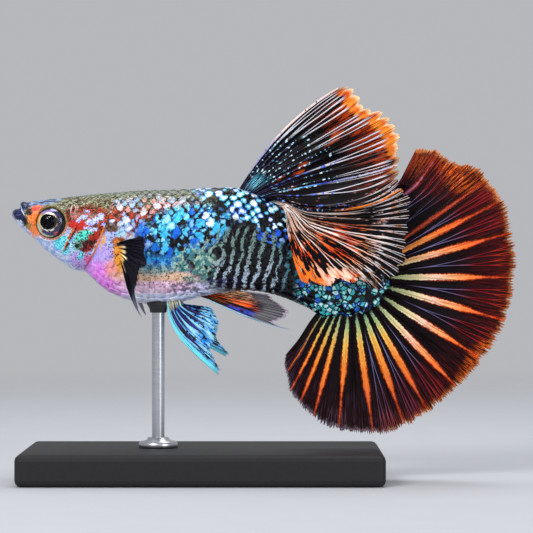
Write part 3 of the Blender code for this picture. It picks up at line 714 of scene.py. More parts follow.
    def snakeskin(self, colour):
        """Upright, wavy lines over the rear flank, with one loop."""
        mix, on, rise = self.brushes()
        patch, two_tone = self.patch, self.two_tone
        turns = (self.torn[0] - 0.25 * self.z) * (2 * math.pi / 0.93) + self.weave * 9.0
        stripe = turns.math("SINE") + (self.fine - 0.5) * 2.0
        broken = rise(self.breaks, 0.37, 0.46)
        line = rise(stripe, 0.30, 0.44) * broken
        loop = self.oval(self.fray, 19.5, -3.8, 0.72, 1.15, -20.0).math("SQRT")
        around_loop = rise(loop, 1.25, 1.15)
        line = line * (1.0 - around_loop) | rise(abs(loop - 0.86), 0.24, 0.16) * broken
        snake = mix(rise(self.fz, -3.0, -6.2), (0.48, 0.60, 0.58), (0.74, 0.81, 0.88))
        snake = mix(rise(self.fx, 20.2, 17.6), snake, (0.66, 0.78, 0.70))
        snake = mix(rise(self.fx, 24.5, 26.5), snake, (0.22, 0.50, 0.56))
        snake = mix(rise(stripe, 0.80, 1.20) * 0.6, snake, (0.24, 0.30, 0.34))
        snake = mix(rise(self.fine, 0.56, 0.62) * 0.7, snake, (0.06, 0.08, 0.10))
        colour = on(colour, snake, line * patch(self.fray, 22.3, -4.5, 5.0, 3.1, -6.0, soft=0.12))
        colour = on(colour, two_tone(self.mottle, (0.26, 0.50, 0.52), (0.70, 0.80, 0.70), 0.45, 0.62),
                    patch(self.fray, 17.3, -4.7, 1.9, 1.6, 0.0, soft=0.3) * rise(self.lump, 0.46, 0.50))
        dusk = patch(self.loose, 17.8, -6.9, 3.4, 0.6, 10.0, soft=0.4)
        colour = on(colour, (0.20, 0.18, 0.36), rise(self.mottle, 0.46, 0.54) * dusk, 0.8)
        return colour

    def tail_root(self, colour):
        """Small pebbled lights on black at the root of the tail fin."""
        mix, on, rise = self.brushes()
        root_zone = rise(self.fx, 26.5, 28.0) * rise(self.fz, -3.4, -5.2) | rise(self.share, 0.90, 0.94)
        pebble = rise(self.pebbles, 0.07, 0.12) * rise(self.chance, 0.17, 0.21) * self.rounded
        pebble_tone = mix(rise(self.other_chance, 0.15, 0.3), (0.12, 0.44, 0.92), (0.30, 0.82, 0.86))
        middle = rise(self.pebbles, 0.15, 0.26) * rise(self.chance, 0.4, 0.5)
        pebble_tone = on(pebble_tone, (0.86, 0.98, 0.97), middle)
        colour = on(colour, (0.02, 0.02, 0.05), root_zone)
        colour = on(colour, pebble_tone, pebble * root_zone)
        return colour

    def nape(self, colour):
        """Scribbled outlines, pale and dark, over the nape."""
        on, patch = self.on, self.patch
        nape = patch(self.fray, 11.5, 1.0, 7.4, 1.0, soft=0.3)
        colour = on(colour, (0.78, 0.86, 0.72), self.pale_scribble * nape, 0.75)
        colour = on(colour, (0.09, 0.07, 0.05), self.scribble * nape, 0.9)
        return colour

    def shoulder(self, colour):
        """The shoulder and the root of the breast fin."""
        on, patch, two_tone, dabs = self.on, self.patch, self.two_tone, self.dabs
        colour = dabs(colour, self.fray, [
            ((0.68, 0.72, 0.93), 9.6, -2.3, 0.75, 0.75, 0.0, 0.35),
            ((0.66, 0.85, 0.96), 10.4, -1.9, 0.5, 0.35, 20.0, 0.35),
            ((0.62, 0.27, 0.06), 10.2, -2.5, 0.6, 0.3, 10.0, 0.35),
            ((0.96, 0.64, 0.22), 10.25, -4.1, 0.42, 1.5, 6.0, 0.35),
            ((0.82, 0.86, 0.88), 11.0, -5.4, 0.22, 0.7, -8.0, 0.35),
            ((0.93, 0.66, 0.25), 8.80, -2.7, 0.10, 0.8, -16.0, 0.35),
        ])
        colour = on(colour, two_tone(self.fine, (0.09, 0.07, 0.07), (0.46, 0.32, 0.14), 0.44, 0.56),
                    patch(self.torn, 9.6, -1.3, 0.8, 0.42, -4.0, 0.3), 0.9)
        shoulder_dots = self.dot_mask * patch(self.loose, 9.9, -2.9, 0.9, 1.2, 0.0, 0.4)
        colour = on(colour, (0.06, 0.02, 0.06), shoulder_dots)
        belly_dots = self.dot_mask * patch(self.fray, 14.4, -5.6, 3.4, 1.5, 0.0, 0.3)
        colour = on(colour, (0.06, 0.06, 0.12), belly_dots, 0.9)
        return colour

    def head(self):
        """Pale blue below and olive above, with cyan, red and rust round the gill cover."""
        on, rise, patch, two_tone, dabs = self.on, self.rise, self.patch, self.two_tone, self.dabs
        colour = two_tone(self.mottle, (0.56, 0.70, 0.93), (0.88, 0.90, 0.99), 0.4, 0.6)
        colour = on(colour, self.back, rise(self.fz + 0.05 * self.x, -1.1, -0.7))
        colour = on(colour, (0.72, 0.80, 0.70), self.pale_scribble * rise(self.fz, 0.1, 0.5))
        colour = on(colour, (0.12, 0.09, 0.06), self.scribble * rise(self.fz, 0.1, 0.5))
        colour = on(colour, two_tone(self.snout_brush, (0.14, 0.18, 0.30), (0.52, 0.64, 0.80)),
                  patch(self.fray, 2.6, 1.25, 2.3, 0.55, 10.0))
        colour = on(colour, two_tone(self.fine, (0.97, 0.45, 0.14), (0.98, 0.60, 0.33)),
                  patch(self.fray, 2.2, -0.95, 0.55, 1.25, 8.0, 0.3))
        cyan = two_tone(self.fine, (0.04, 0.72, 0.86), (0.50, 0.95, 0.97))
        colour = dabs(colour, self.torn, [
            (two_tone(self.mottle, (0.88, 0.26, 0.20), (0.98, 0.58, 0.42)), 2.5, 0.45, 0.62, 0.28, 8.0, 0.5),
            ((0.17, 0.08, 0.06), 1.75, 0.15, 0.36, 0.30, -20.0, 0.3),
            ((0.62, 0.48, 0.24), 1.6, -1.1, 0.4, 0.32, -40.0, 0.3),
            ((0.10, 0.08, 0.14), 1.2, -0.65, 0.5, 0.35, -35.0, 0.3),
            ((0.82, 0.88, 0.97), 0.72, -0.82, 0.42, 0.22, -45.0, 0.3),
            (cyan, 4.95, -2.75, 0.8, 0.7, 22.0, 0.25),
            (cyan, 5.2, -3.5, 0.32, 0.4, 0.0, 0.3),
            (two_tone(self.brush, (0.34, 0.06, 0.04), (0.95, 0.84, 0.80), 0.45, 0.53),
             5.95, -0.05, 0.75, 0.75, 0.0, 0.25),
            (two_tone(self.fine, (0.17, 0.04, 0.03), (0.70, 0.24, 0.08), 0.46, 0.56),
             7.7, -0.8, 2.2, 1.5, -4.0, 0.25),
            (two_tone(self.fine, (0.95, 0.17, 0.05), (0.70, 0.06, 0.03)), 6.45, -1.15, 0.85, 0.50, -8.0, 0.3),
            (two_tone(self.fine, (0.10, 0.55, 0.52), (0.36, 0.92, 0.82)), 6.95, -2.15, 0.95, 0.50, 25.0, 0.2),
            ((0.62, 0.84, 0.95), 5.95, -3.35, 0.30, 0.8, -12.0, 0.35),
            (two_tone(self.fine, (0.03, 0.02, 0.02), (0.42, 0.62, 0.56), 0.48, 0.58),
             6.85, -3.05, 0.75, 0.60, 0.0, 0.25),
            (two_tone(self.brush, (0.13, 0.02, 0.02), (0.72, 0.14, 0.05), 0.42, 0.56),
             7.65, -2.75, 1.25, 0.52, 52.0, 0.2),
            ((0.76, 0.66, 0.93), 6.55, -4.45, 1.0, 0.72, -20.0, 0.3),
            (cyan, 6.7, -4.0, 0.26, 0.42, -20.0, 0.35),
            ((0.86, 0.42, 0.66), 7.55, -4.55, 0.35, 0.75, 35.0, 0.4),
        ])
        return self.soot(colour)

    def soot(self, colour):
        """Thin lines, dark dots and smudges over the head's colours, and pale flecks over those."""
        mix, on, rise = self.brushes()
        patch = self.patch
        for over, *where in (((0.20, 0.06, 0.04), 5.70, -2.45, 1.2, 0.13, 62.0, 0.5),
                             ((0.97, 0.46, 0.14), 5.55, -2.4, 1.15, 0.075, 62.0, 0.5)):
            colour = on(colour, over, patch(self.calm, *where) * rise(self.mottle, 0.34, 0.46))
        cheek_dots = self.dot_mask * patch(self.fray, 6.7, -4.0, 1.2, 1.4, -20.0, 0.3)
        colour = on(colour, (0.05, 0.02, 0.08), cheek_dots)
        soot = rise(self.fine, 0.47, 0.41) * patch(self.torn, 7.3, -1.4, 2.5, 2.3, 0.0, 0.3)
        colour = on(colour, (0.08, 0.03, 0.02), soot, 0.95)
        pale = mix(rise(self.fine, 0.35, 0.6), (0.40, 0.56, 0.95), (0.80, 0.82, 0.99))
        for where in ((6.95, -0.35, 0.40, 0.18), (7.75, -0.80, 0.62, 0.24), (8.15, -0.50, 0.34, 0.16),
                      (7.95, -1.50, 0.40, 0.20), (8.65, -0.30, 0.30, 0.32), (6.5, -0.65, 0.26, 0.13),
                      (8.9, -1.1, 0.22, 0.18), (7.3, 0.15, 0.22, 0.12), (7.35, -1.35, 0.36, 0.12)):
            colour = on(colour, pale, patch(self.torn, *where, 8.0, 0.15))
        return colour

    def gill_cover(self, colour):
        """The head as far as the gill cover's edge, and the light rim along it."""
        mix, on, rise = self.brushes()
        colour = on(colour, self.head(), rise(self.share, GILL_EDGE + 0.004, GILL_EDGE - 0.004))
        from_edge = abs(self.share - (GILL_EDGE - 0.003)) + (self.fine - 0.5) * 0.003
        gill_rim = rise(from_edge, 0.0035, 0.001) * rise(self.height, 0.2, 0.0)
        gill_rim = gill_rim * rise(self.mottle, 0.30, 0.45)
        rim_light = mix(rise(self.height, -0.75, -0.4), (0.80, 0.28, 0.40), (0.96, 0.52, 0.16))
        colour = on(colour, rim_light, gill_rim * rise(self.height, -0.99, -0.93))
        return colour

    def orbit_and_lips(self, colour):
        """The rim of the eye socket, and dark lips with a painted highlight on each."""
        mix, on, rise = self.brushes()
        patch, two_tone = self.patch, self.two_tone
        from_eye = self.oval(self.spot, EYE_CENTRE[0], EYE_CENTRE[2], 1.0, 1.0).math("SQRT")
        rim_tone = mix(rise(self.z, -1.6, 0.2), (0.72, 0.42, 0.20), (0.52, 0.43, 0.24))
        rim_tone = mix(rise(self.x, 3.2, 2.6) * rise(self.z, 0.3, 0.0), rim_tone, (0.95, 0.46, 0.20))
        rim_tone = mix(rise(self.fine, 0.5, 0.4) * 0.6, rim_tone, (0.16, 0.09, 0.05))
        colour = on(colour, rim_tone, rise(from_eye + (self.mottle - 0.5) * 0.3, 1.70, 1.58), 0.9)
        colour = on(colour, (0.05, 0.04, 0.04), rise(from_eye, 1.46, 1.41))
        lip_tone = two_tone(self.fine, (0.02, 0.03, 0.09), (0.12, 0.18, 0.42), 0.42, 0.62)
        lip_tone = mix(rise(self.fine, 0.66, 0.74), lip_tone, (0.75, 0.84, 0.95))
        lower_lip = patch(self.fray, 0.55, 0.02, 0.85, 0.60, -25.0, 0.15)
        upper_lip = patch(self.fray, 1.15, 0.78, 0.72, 0.42, 40.0, 0.2)
        colour = on(colour, lip_tone, (lower_lip | upper_lip) * rise(self.fx, 2.1, 1.5))
        # painted highlights: a pale line between the lips and another along the lower lip's rim, fading out
        # at the middle
        for strength, *where in ((0.9, 1.05, 0.40, 0.52, 0.055, -65.0),
                                 (0.5, 0.30, -0.40, 0.60, 0.045, -66.0)):
            lip_highlight = patch(self.calm, *where, 0.5) * rise(abs(self.y), 0.3, 0.7)
            colour = on(colour, (0.74, 0.83, 0.96), lip_highlight, strength)
        return colour

    def painted(self, grain_depth):
        """Sets the colour and a fine grain, and gives the material."""
        mix, rise = self.mix, self.rise
        colour = self.belly_and_flank()
        for zone in (self.light_patches, self.snakeskin, self.tail_root, self.nape, self.shoulder,
                     self.gill_cover, self.orbit_and_lips):
            colour = zone(colour)
        pebbled = mix(rise(self.fine, 0.35, 0.65), (0.20, 0.20, 0.20, 1.0), (0.76, 0.76, 0.76, 1.0))
        colour = mix(rise(self.fz, -7.0, -4.0) * 0.25 + 0.2, colour, pebbled, "OVERLAY")
        self.set("Base Color", colour)
        self.bump(self.fine, grain_depth)
        return self.material


wet_skin = FishFinish("wet_skin", Roughness=0.36, Coat_Weight=0.2, Coat_Roughness=0.1, Specular_IOR_Level=0.2)
skin.data.materials.clear()
skin.data.materials.append(wet_skin.painted(0.04))
skin.data.shade_smooth()
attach(skin, "root")
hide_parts("head", "torso", "tail")


# ---- Scales --------------------------------------------------------------------------------------
# Thin, clear-edged plates in staggered rows from the gill cover and the nape to the root of the tail
# fin. Each is rooted in the skin and lies over the root of the one behind it, its round edge free.
SCALE_LENGTH = 1.3
SCALE_WIDTH = 1.3
SCALE_THICK = 0.03
SCALE_RISE = 0.075              # from its sunk root to its free edge
SCALE_ROOT = 0.02               # how deep the root is sunk
SCALE_AHEAD = 0.74              # from the middle of what shows of a scale forward to its root
SCALE_BEND = 3.4                # radius of the flank that it bends over
SCALE_DIP = 0.042               # how much flatter it lies over the belly, as a slope
SCALE_PATCH = 0.003             # size of a scale on the map for baking
SCALE_LIMITS = (0.35, 1.25)     # smallest and largest, as shares of the full size
SCALE_TILT = 0.04               # how much one lies out of line with the next
SCALE_VARIES = 0.05             # how much its size varies

along_pitch = np.linalg.norm(along_body, axis=2) / np.maximum(np.gradient(scale_number), 1e-6)[:, None]
row_pitch = np.gradient(arc, axis=1) / np.maximum(-np.gradient(row_number, axis=1), 1e-9)
lay = np.random.default_rng(7)
roots, turns, sizes, map_places = [], [], [], []
for row in range(1, SCALE_ROWS):
    for step in np.arange(2.0, scale_number[-1] - 0.3, 1.0) + (0.5 if row % 2 else 0.0):
        i = int(np.argmin(np.abs(scale_number - step)))
        k = int(np.argmin(np.abs(row_number[i] - row)))
        if scaled(ring_shares[i], ring_heights[k]) < 0.6:
            continue
        size = (min(along_pitch[i, k] / SCALE_PITCH, SCALE_LIMITS[1]),
                min(row_pitch[i, k] / SCALE_ROW_PITCH, SCALE_LIMITS[1]), 1.0)
        if min(size) < SCALE_LIMITS[0]:
            continue
        for side in (1.0, -1.0):
            mirror = np.array((1.0, side, 1.0))
            ahead = along_body[i, k] * mirror
            ahead /= np.linalg.norm(ahead)
            out = outward[i, k] * mirror
            across = np.cross(out, ahead)
            tilt = lay.normal(0.0, SCALE_TILT)
            ahead = ahead + across * tilt - out * SCALE_DIP * float(ease(7.0, 10.0, row))
            ahead /= np.linalg.norm(ahead)
            across = np.cross(out, ahead)
            across /= np.linalg.norm(across)
            frame_of_scale = Matrix((ahead, across, np.cross(ahead, across))).transposed()
            roots.append(skin_grid[i, k] * mirror)
            turns.append(tuple(frame_of_scale.to_euler()))
            sizes.append([s * lay.uniform(1.0 - SCALE_VARIES, 1.0 + SCALE_VARIES) for s in size])
            map_places.append((0.03 + 0.94 * ring_shares[i], 0.5 + side * 0.47 * row / SCALE_ROWS, 0.0))

scale_roots = mesh_piece("scales", roots, [])
store(scale_roots.data, turn=turns, size=sizes, map_place=map_places)

laying = bpy.data.node_groups.new("lay_scales", "GeometryNodeTree")


def opening(label, kind, way="INPUT"):
    """Adds an input or output to the tree and gives its identifier."""
    return laying.interface.new_socket(label, in_out=way, socket_type="NodeSocket" + kind).identifier


opening("Geometry", "Geometry")
opening("Geometry", "Geometry", "OUTPUT")
scale_inputs = {"Length": SCALE_LENGTH, "Width": SCALE_WIDTH, "Thickness": SCALE_THICK, "Rise": SCALE_RISE,
                "Root depth": SCALE_ROOT, "Ahead": SCALE_AHEAD, "Bend radius": SCALE_BEND,
                "Patch size": SCALE_PATCH}
input_names = {label: opening(label, "Float") for label in scale_inputs}
material_input = opening("Material", "Material")
plan = NodeTree(laying)
given = {wire.socket.name: wire for wire in plan.parts(plan.node("NodeGroupInput"))}
blank = plan.node("GeometryNodeMeshGrid", None,
                  {"Size X": 1.0, "Size Y": 1.0, "Vertices X": 6, "Vertices Y": 5})
along, beside, _ = plan.split(plan.node("GeometryNodeInputPosition"))
back = along + 0.5
edge = (1.0 - beside * beside * 3.7 | 0.0).math("SQRT") * 0.42 + 0.58
reach = back * edge * given["Length"] - given["Ahead"]
sideways = beside * given["Width"]
bend = sideways * sideways / (given["Bend radius"] * 2.0)
lift = back * back * given["Rise"] - given["Root depth"] - bend
shaped = plan.node("GeometryNodeSetPosition", None,
                   {"Geometry": blank, "Position": plan.vector(reach, sideways, lift)})
marked = plan.node("GeometryNodeStoreNamedAttribute", {"data_type": "FLOAT_VECTOR", "domain": "POINT"},
                   {"Geometry": shaped, "Name": "on_scale", "Value": plan.vector(along, beside)})
raised = plan.node("GeometryNodeExtrudeMesh", {"mode": "FACES"},
                   {"Mesh": marked, "Offset": (0.0, 0.0, 1.0), "Offset Scale": given["Thickness"],
                    "Individual": False})
under = plan.node("GeometryNodeFlipFaces", None, [marked])
both = plan.node("GeometryNodeJoinGeometry", None, [[raised, under]])
plate = plan.node("GeometryNodeMergeByDistance", None, {"Geometry": both, "Distance": 0.0005})


def named(label):
    return plan.node("GeometryNodeInputNamedAttribute", {"data_type": "FLOAT_VECTOR"}, {"Name": label})


laid = plan.node("GeometryNodeInstanceOnPoints", None, {
    "Points": given["Geometry"], "Instance": plate,
    "Rotation": plan.node("FunctionNodeEulerToRotation", None, [named("turn")]), "Scale": named("size")})
real = plan.node("GeometryNodeRealizeInstances", None, [laid])
map_spot = plan.node("ShaderNodeVectorMath", {"operation": "SCALE"},
                     {0: named("on_scale"), 3: given["Patch size"]})
map_spot = plan.node("ShaderNodeVectorMath", {"operation": "ADD"}, [named("map_place"), map_spot])
mapped = plan.node("GeometryNodeStoreNamedAttribute", {"data_type": "FLOAT2", "domain": "CORNER"},
                   {"Geometry": real, "Name": "OFBake", "Value": map_spot})
smooth = plan.node("GeometryNodeSetShadeSmooth", None, {"Geometry": mapped})
dressed = plan.node("GeometryNodeSetMaterial", None, {"Geometry": smooth, "Material": given["Material"]})
laying.links.new(dressed.socket, laying.nodes.new("NodeGroupOutput").inputs[0])

scale_finish = FishFinish("scale", Roughness=0.34, Coat_Weight=0.15, Coat_Roughness=0.1,
                          Specular_IOR_Level=0.2)

layer = scale_roots.modifiers.new("lay_scales", "NODES")
layer.node_group = laying
for label, value in scale_inputs.items():
    layer[input_names[label]] = value
layer[material_input] = scale_finish.painted(0.03)
finished(scale_roots)
mark_lie(scale_roots.data)
scale_roots.data.transform(TO_FRAME)
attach(scale_roots, "root")


# ---- Eyes ----------------------------------------------------------------------------------------
# A large eye on each side: a shallow iris of gold, cream and dark blue rings, a round black lens that
# stands out of the pupil, and a clear cornea over both.
PUPIL = (-0.16, 0.10)           # its middle, forward and up from the middle of the eye
PUPIL_RADIUS = 0.74
IRIS_RADIUS = EYE_RADIUS * 0.985
IRIS_HALF_DEPTH = EYE_HALF_DEPTH * 0.86
IRIS_DISH = 0.1
LENS_RADIUS = PUPIL_RADIUS * 1.14
LENS_HALF_DEPTH = 0.5
LENS_MIDDLE = 0.42              # how far it stands out of the middle of the eye


def iris_finish():
    finish = Finish("iris", Metallic=0.25, Roughness=0.22, Coat_Weight=1.0, Coat_Roughness=0.03)
    mix, on, rise = finish.brushes()
    x, _, z = finish.split(finish.place())
    a, b = x - EYE_CENTRE[0], z - EYE_CENTRE[2]
    flat = finish.moved((a, b), finish.noise(finish.place(), 5.5, 3.0, 0.6, output="Color"), 0.16)
    from_pupil = finish.oval(flat, *PUPIL, 1.0, 1.0).math("SQRT")
    from_middle = finish.oval(flat, 0.0, 0.0, 1.0, 1.0).math("SQRT")
    mottle = finish.noise(finish.place(), 4.0, 3.0)
    colour = finish.two_tone(mottle, (0.06, 0.06, 0.20), (0.24, 0.25, 0.55), 0.45, 0.7)
    colour = finish.dabs(colour, flat, [
        # the first dab, a lilac arc over the top of the iris, is a painted highlight
        ((0.66, 0.58, 0.82), -0.35, 1.0, 0.75, 0.16, 12.0, 0.4),
        ((0.10, 0.10, 0.26), 1.05, -0.1, 0.35, 0.8, 0.0, 0.4),
        ((0.97, 0.66, 0.16), -1.06, 0.10, 0.34, 0.80, 0.0, 0.4),
        ((0.98, 0.90, 0.60), -0.98, 0.30, 0.16, 0.36, 0.0, 0.4),
        ((0.78, 0.28, 0.42), 0.55, -0.98, 0.25, 0.14, 15.0, 0.4),
        ((0.70, 0.74, 0.60), -1.1, -0.55, 0.16, 0.42, 20.0, 0.4),
    ])
    crescent = rise(from_middle, 1.16, 1.26) * rise(b + 0.45 * a, -0.35, -0.75)
    colour = on(colour, (0.82, 0.90, 0.82), crescent)
    halo = rise(abs(from_pupil - 0.81), 0.10, 0.06) * rise(mottle, 0.36, 0.44)
    halo_colour = mix(rise(b, -0.2, 0.3), (0.93, 0.90, 0.86), (0.99, 0.94, 0.84))
    halo_colour = mix(rise(a, 0.35, 0.6), halo_colour, (0.66, 0.50, 0.24))
    gap = finish.patch(flat, 0.62, -0.55, 0.3, 0.22, 0.0, 0.4)
    colour = on(colour, halo_colour, halo * (1.0 - gap))
    colour = on(colour, (0.01, 0.01, 0.015), rise(from_pupil, PUPIL_RADIUS + 0.03, PUPIL_RADIUS - 0.02))
    colour = on(colour, (0.05, 0.04, 0.04), rise(from_middle, 1.36, 1.42))
    finish.set("Base Color", colour)
    finish.bump(mottle, 0.03)
    return finish.material


def dome(name, place, radius, depth, dish, rings=22, segments=64):
    """The front of an eye: a cap of an egg, with a dish pressed into it, closed by a flat back."""
    points = [place @ Vector((0.0, -depth + dish, 0.0))]
    for i in range(1, rings + 1):
        out = math.sin(math.pi / 2 * i / rings)
        lift = depth * math.sqrt(max(0.0, 1.0 - out * out))
        press = dish * float(1.0 - ease(0.3, 0.85, out))
        points += [place @ Vector((radius * out * cos, -lift + press, radius * out * sin))
                   for cos, sin in circle(segments)]
    faces = [(0, 1 + k, 1 + (k + 1) % segments) for k in range(segments)]
    faces += [(a, d, c, b) for a, b, c, d in row_faces(rings, segments, first=1)]
    last = 1 + (rings - 1) * segments
    faces.append(tuple(range(last, last + segments)))
    return turned_outwards(mesh_piece(name, in_frame(points), faces))


iris = iris_finish()
lens_finish = Finish("lens", Roughness=0.15, Specular_IOR_Level=0.08)
lens_finish.tinted(lens_finish.noise(lens_finish.place(), 3.0), (0.0, 0.0, 0.01), (0.01, 0.01, 0.03))
cornea_finish = Finish("cornea", Roughness=0.02, Alpha=0.08, Coat_Weight=1.0)
cornea_finish.tinted(cornea_finish.noise(cornea_finish.place(), 2.0), (0.02, 0.02, 0.05), (0.08, 0.08, 0.14))
for side, name in ((-1, "left"), (1, "right")):
    place = eye_place(side) @ Matrix.Diagonal((1.0, -side, 1.0, 1.0))
    ball = dome(f"iris_{name}", place, IRIS_RADIUS, IRIS_HALF_DEPTH, IRIS_DISH)
    lens_place = place @ Matrix.Translation((PUPIL[0], -LENS_MIDDLE, PUPIL[1]))
    lens = dome(f"lens_{name}", lens_place, LENS_RADIUS, LENS_HALF_DEPTH, 0.0, 14, 48)
    cornea = dome(f"cornea_{name}", place, EYE_RADIUS, EYE_HALF_DEPTH, 0.0)
    for piece, material in ((ball, iris), (lens, lens_finish.material), (cornea, cornea_finish.material)):
        piece.data.materials.append(material)
        piece.data.shade_smooth()
        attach(piece, "root")
    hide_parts(f"eye_{name}")


# ---- Fins ----------------------------------------------------------------------------------------
# Each fin is a thin membrane stretched over bony rays, which fork and fork again on their way to the
# edge and stand out of it as a fine fringe. The sheet is drawn from its root, with the rays raised in it.

# Where each fork starts and is full, from root to edge, and its spread as a share of the ray's membrane
FINE_FORKS = ((0.26, 0.75, 0.50), (0.50, 0.92, 0.25), (0.74, 1.0, 0.125))
PLAIN_FORKS = ((0.30, 0.80, 0.46), (0.72, 1.0, 0.16))
RAY_RIDGE = 0.085               # half width of the ridge that a ray raises in the membrane
RAY_TIP_SHARPNESS = 22.0


def branch_offset(aside, out, forks):
    """How far a point is from the nearest branch of its ray, as a share of the ray's half of the membrane."""
    for start, full, spread in forks:
        aside = np.abs(aside - spread * ease(start, full, out))
    return aside


def fin_piece(name, sheet, rays, columns, steps, half_thick=0.05, ridge=0.09, fringe=0.05, seed=1,
              forks=FINE_FORKS, scallop=0.0):
    """sheet(across, out) gives points for shares from the first ray to the last and from root to edge.
    rays are pairs of a ray's place across the fin and its strength. The edge is a fringe, cut in by
    scallops, by a share of the rays' length or by a list of such shares at places across the fin."""
    draw = np.random.default_rng(seed)
    places = np.array([place for place, _ in rays])
    strengths = np.array([strength for _, strength in rays])
    chances = draw.random(len(rays))
    across = np.linspace(0.0, 1.0, columns)
    nearest = np.argmin(np.abs(across[:, None] - places[None]), axis=1)
    edges = np.concatenate([[2 * places[0] - places[1]], places, [2 * places[-1] - places[-2]]])
    place = places[nearest]
    gaps = np.where(across < place, place - edges[nearest], edges[nearest + 2] - place)
    aside = np.clip(np.abs(across - place) / np.maximum(gaps / 2, 1e-6), 0.0, 1.0)
    out = np.linspace(0.0, 1.0, steps)
    offset = branch_offset(aside[:, None], out[None], forks)
    tip = np.exp(-(offset[:, -1] * RAY_TIP_SHARPNESS) ** 2)
    tear = sum(np.interp(across, np.linspace(0, 1, many), draw.random(many))
               for many in (60, columns // 6, columns // 2)) / 3
    short = fringe * ((1.0 - tip) * (0.15 + 0.6 * draw.random(columns)) + tear)
    cut = np.interp(across, *zip(*scallop)) if isinstance(scallop, list) else scallop
    short = short + cut * (aside**2.5 * 0.7 + draw.random(len(rays))[nearest] * (1.0 - aside**4) * 0.5)
    reach = out[None] * (1.0 - short[:, None] * ease(0.8, 1.0, out)[None])
    points = sheet(across, reach)
    along = np.gradient(points, axis=1)
    over = np.gradient(points, axis=0)
    normal = np.cross(over, along)
    normal /= np.maximum(np.linalg.norm(normal, axis=2, keepdims=True), 1e-9)
    half_sector = np.linalg.norm(over, axis=2) * (columns - 1) * gaps[:, None] / 2
    height = np.exp(-(offset * half_sector / RAY_RIDGE) ** 2) * (1.0 - 0.75 * ease(0.3, 1.0, out))[None]
    thick = (half_thick * (1.0 - 0.6 * ease(0.6, 1.0, out))[None] + ridge * height)
    front, rear = points + normal * thick[..., None], points - normal * thick[..., None]
    count = columns * steps
    faces = []
    for i in range(columns - 1):
        for j in range(steps - 1):
            a, b = i * steps + j, (i + 1) * steps + j
            faces.append((a, b, b + 1, a + 1))
            faces.append((a + count, a + 1 + count, b + 1 + count, b + count))
    border = [i * steps for i in range(columns)] + [(columns - 1) * steps + j for j in range(1, steps)]
    border += [i * steps + steps - 1 for i in range(columns - 2, -1, -1)] + list(range(steps - 2, 0, -1))
    for k, a in enumerate(border):
        b = border[(k + 1) % len(border)]
        faces.append((a, a + count, b + count, b))
    made = mesh_piece(name, in_frame(np.concatenate([front.reshape(-1, 3), rear.reshape(-1, 3)])), faces)

    def on_both_faces(*values):
        grid = np.stack([np.broadcast_to(value, (columns, steps)) for value in values], axis=2)
        return np.stack([grid, grid])

    store(made.data, ray=on_both_faces(aside[:, None], out, strengths[nearest][:, None]),
          stretch=on_both_faces(half_sector, across[:, None], chances[nearest][:, None]))
    turned_outwards(made)
    made.data.shade_smooth()
    return made


def ripples(across, waves, start=0.0):
    """A wave from the first ray to the last, from -1 to 1."""
    return np.sin(2 * math.pi * (waves * across + start))[:, None]


class FinFinish(Finish):
    """A fin's material, with what its mesh stores: out from root to edge, across the fin, and its rays."""

    def __init__(self, name, forks=FINE_FORKS, roughness=0.5, coat=0.03, specular=0.08):
        super().__init__(name, Roughness=roughness, Coat_Weight=coat, Specular_IOR_Level=specular)
        self.aside, self.out, self.strength = self.stored("ray")
        self.half_sector, self.across, self.chance = self.stored("stretch")
        self.at = self.place()
        self.behind, _, self.over = self.split(self.at)
        self.grain = self.noise(self.at, 3.0, 3.0, 0.6)
        self.fine = self.noise(self.at, 9.0, 2.0, 0.6)
        offset = self.aside
        for start, full, spread in forks:
            offset = abs(offset - self.rise(self.out, start, full) * spread)
        self.from_branch = offset * self.half_sector

    def lines(self, half_thick, soft=0.03):
        """The branches of the rays, as lines of that half thickness in millimetres."""
        return self.rise(self.from_branch, half_thick + soft, max(half_thick - soft, 0.0))

    def drawn_out(self, across, along, detail=3.0):
        """A noise of long streaks from root to edge."""
        return self.noise(self.vector(self.across * across, self.out * along), 1.0, detail, 0.6)

    def dressed(self, colour, depth, fine=0.0):
        """Sets the colour, raises the rays by that depth, and gives the material."""
        relief = self.from_branch.math("MINIMUM", 0.12) * -8.0
        self.set("Base Color", colour)
        self.bump(relief + self.fine * fine if fine else relief, depth)
        return self.material


# ---- Tail fin ------------------------------------------------------------------------------------
# A fan of a little over half a circle, black to maroon. Every other ray carries a broad streak,
# greenish cream at the root, then salmon and orange, and the edge is a fine tan fringe.
TAIL_FIN_EDGE = [(-130.0, 9.95), (-125.0, 11.1), (-116.0, 12.85), (-104.0, 14.2), (-88.0, 15.15),
                 (-72.0, 15.5), (-52.0, 14.95), (-36.0, 15.0), (-16.0, 15.65), (8.0, 16.15), (34.0, 16.6),
                 (41.0, 16.3), (48.0, 15.15), (58.0, 14.7), (63.0, 13.9)]
TAIL_FIN_ROOT = (-134.0, 84.0)
TAIL_FIN_RIPPLE = 0.45
TAIL_FIN_SINK = 0.35            # how far the sheet goes into the skin at its root
TAIL_FIN_RAYS = [  # angle of each ray, and how strong its streak is
    (-130.0, 0.0), (-124.0, 0.25), (-118.0, 0.35), (-112.0, 0.5), (-105.0, 0.62), (-94.6, 0.9), (-88.5, 0.0),
    (-82.0, 0.9), (-76.0, 0.0), (-70.0, 1.0), (-65.0, 0.05), (-60.0, 1.0), (-53.0, 0.1), (-46.0, 1.0),
    (-39.5, 0.15), (-32.0, 1.0), (-24.0, 0.15), (-15.7, 1.0), (-8.0, 0.15), (0.0, 1.0), (7.5, 0.15),
    (15.6, 1.0), (21.0, 0.1), (27.0, 0.8), (31.0, 0.0), (35.5, 0.45), (42.0, 0.0), (48.0, 0.0), (54.5, 0.3),
    (59.0, 0.0), (63.0, 0.2)]


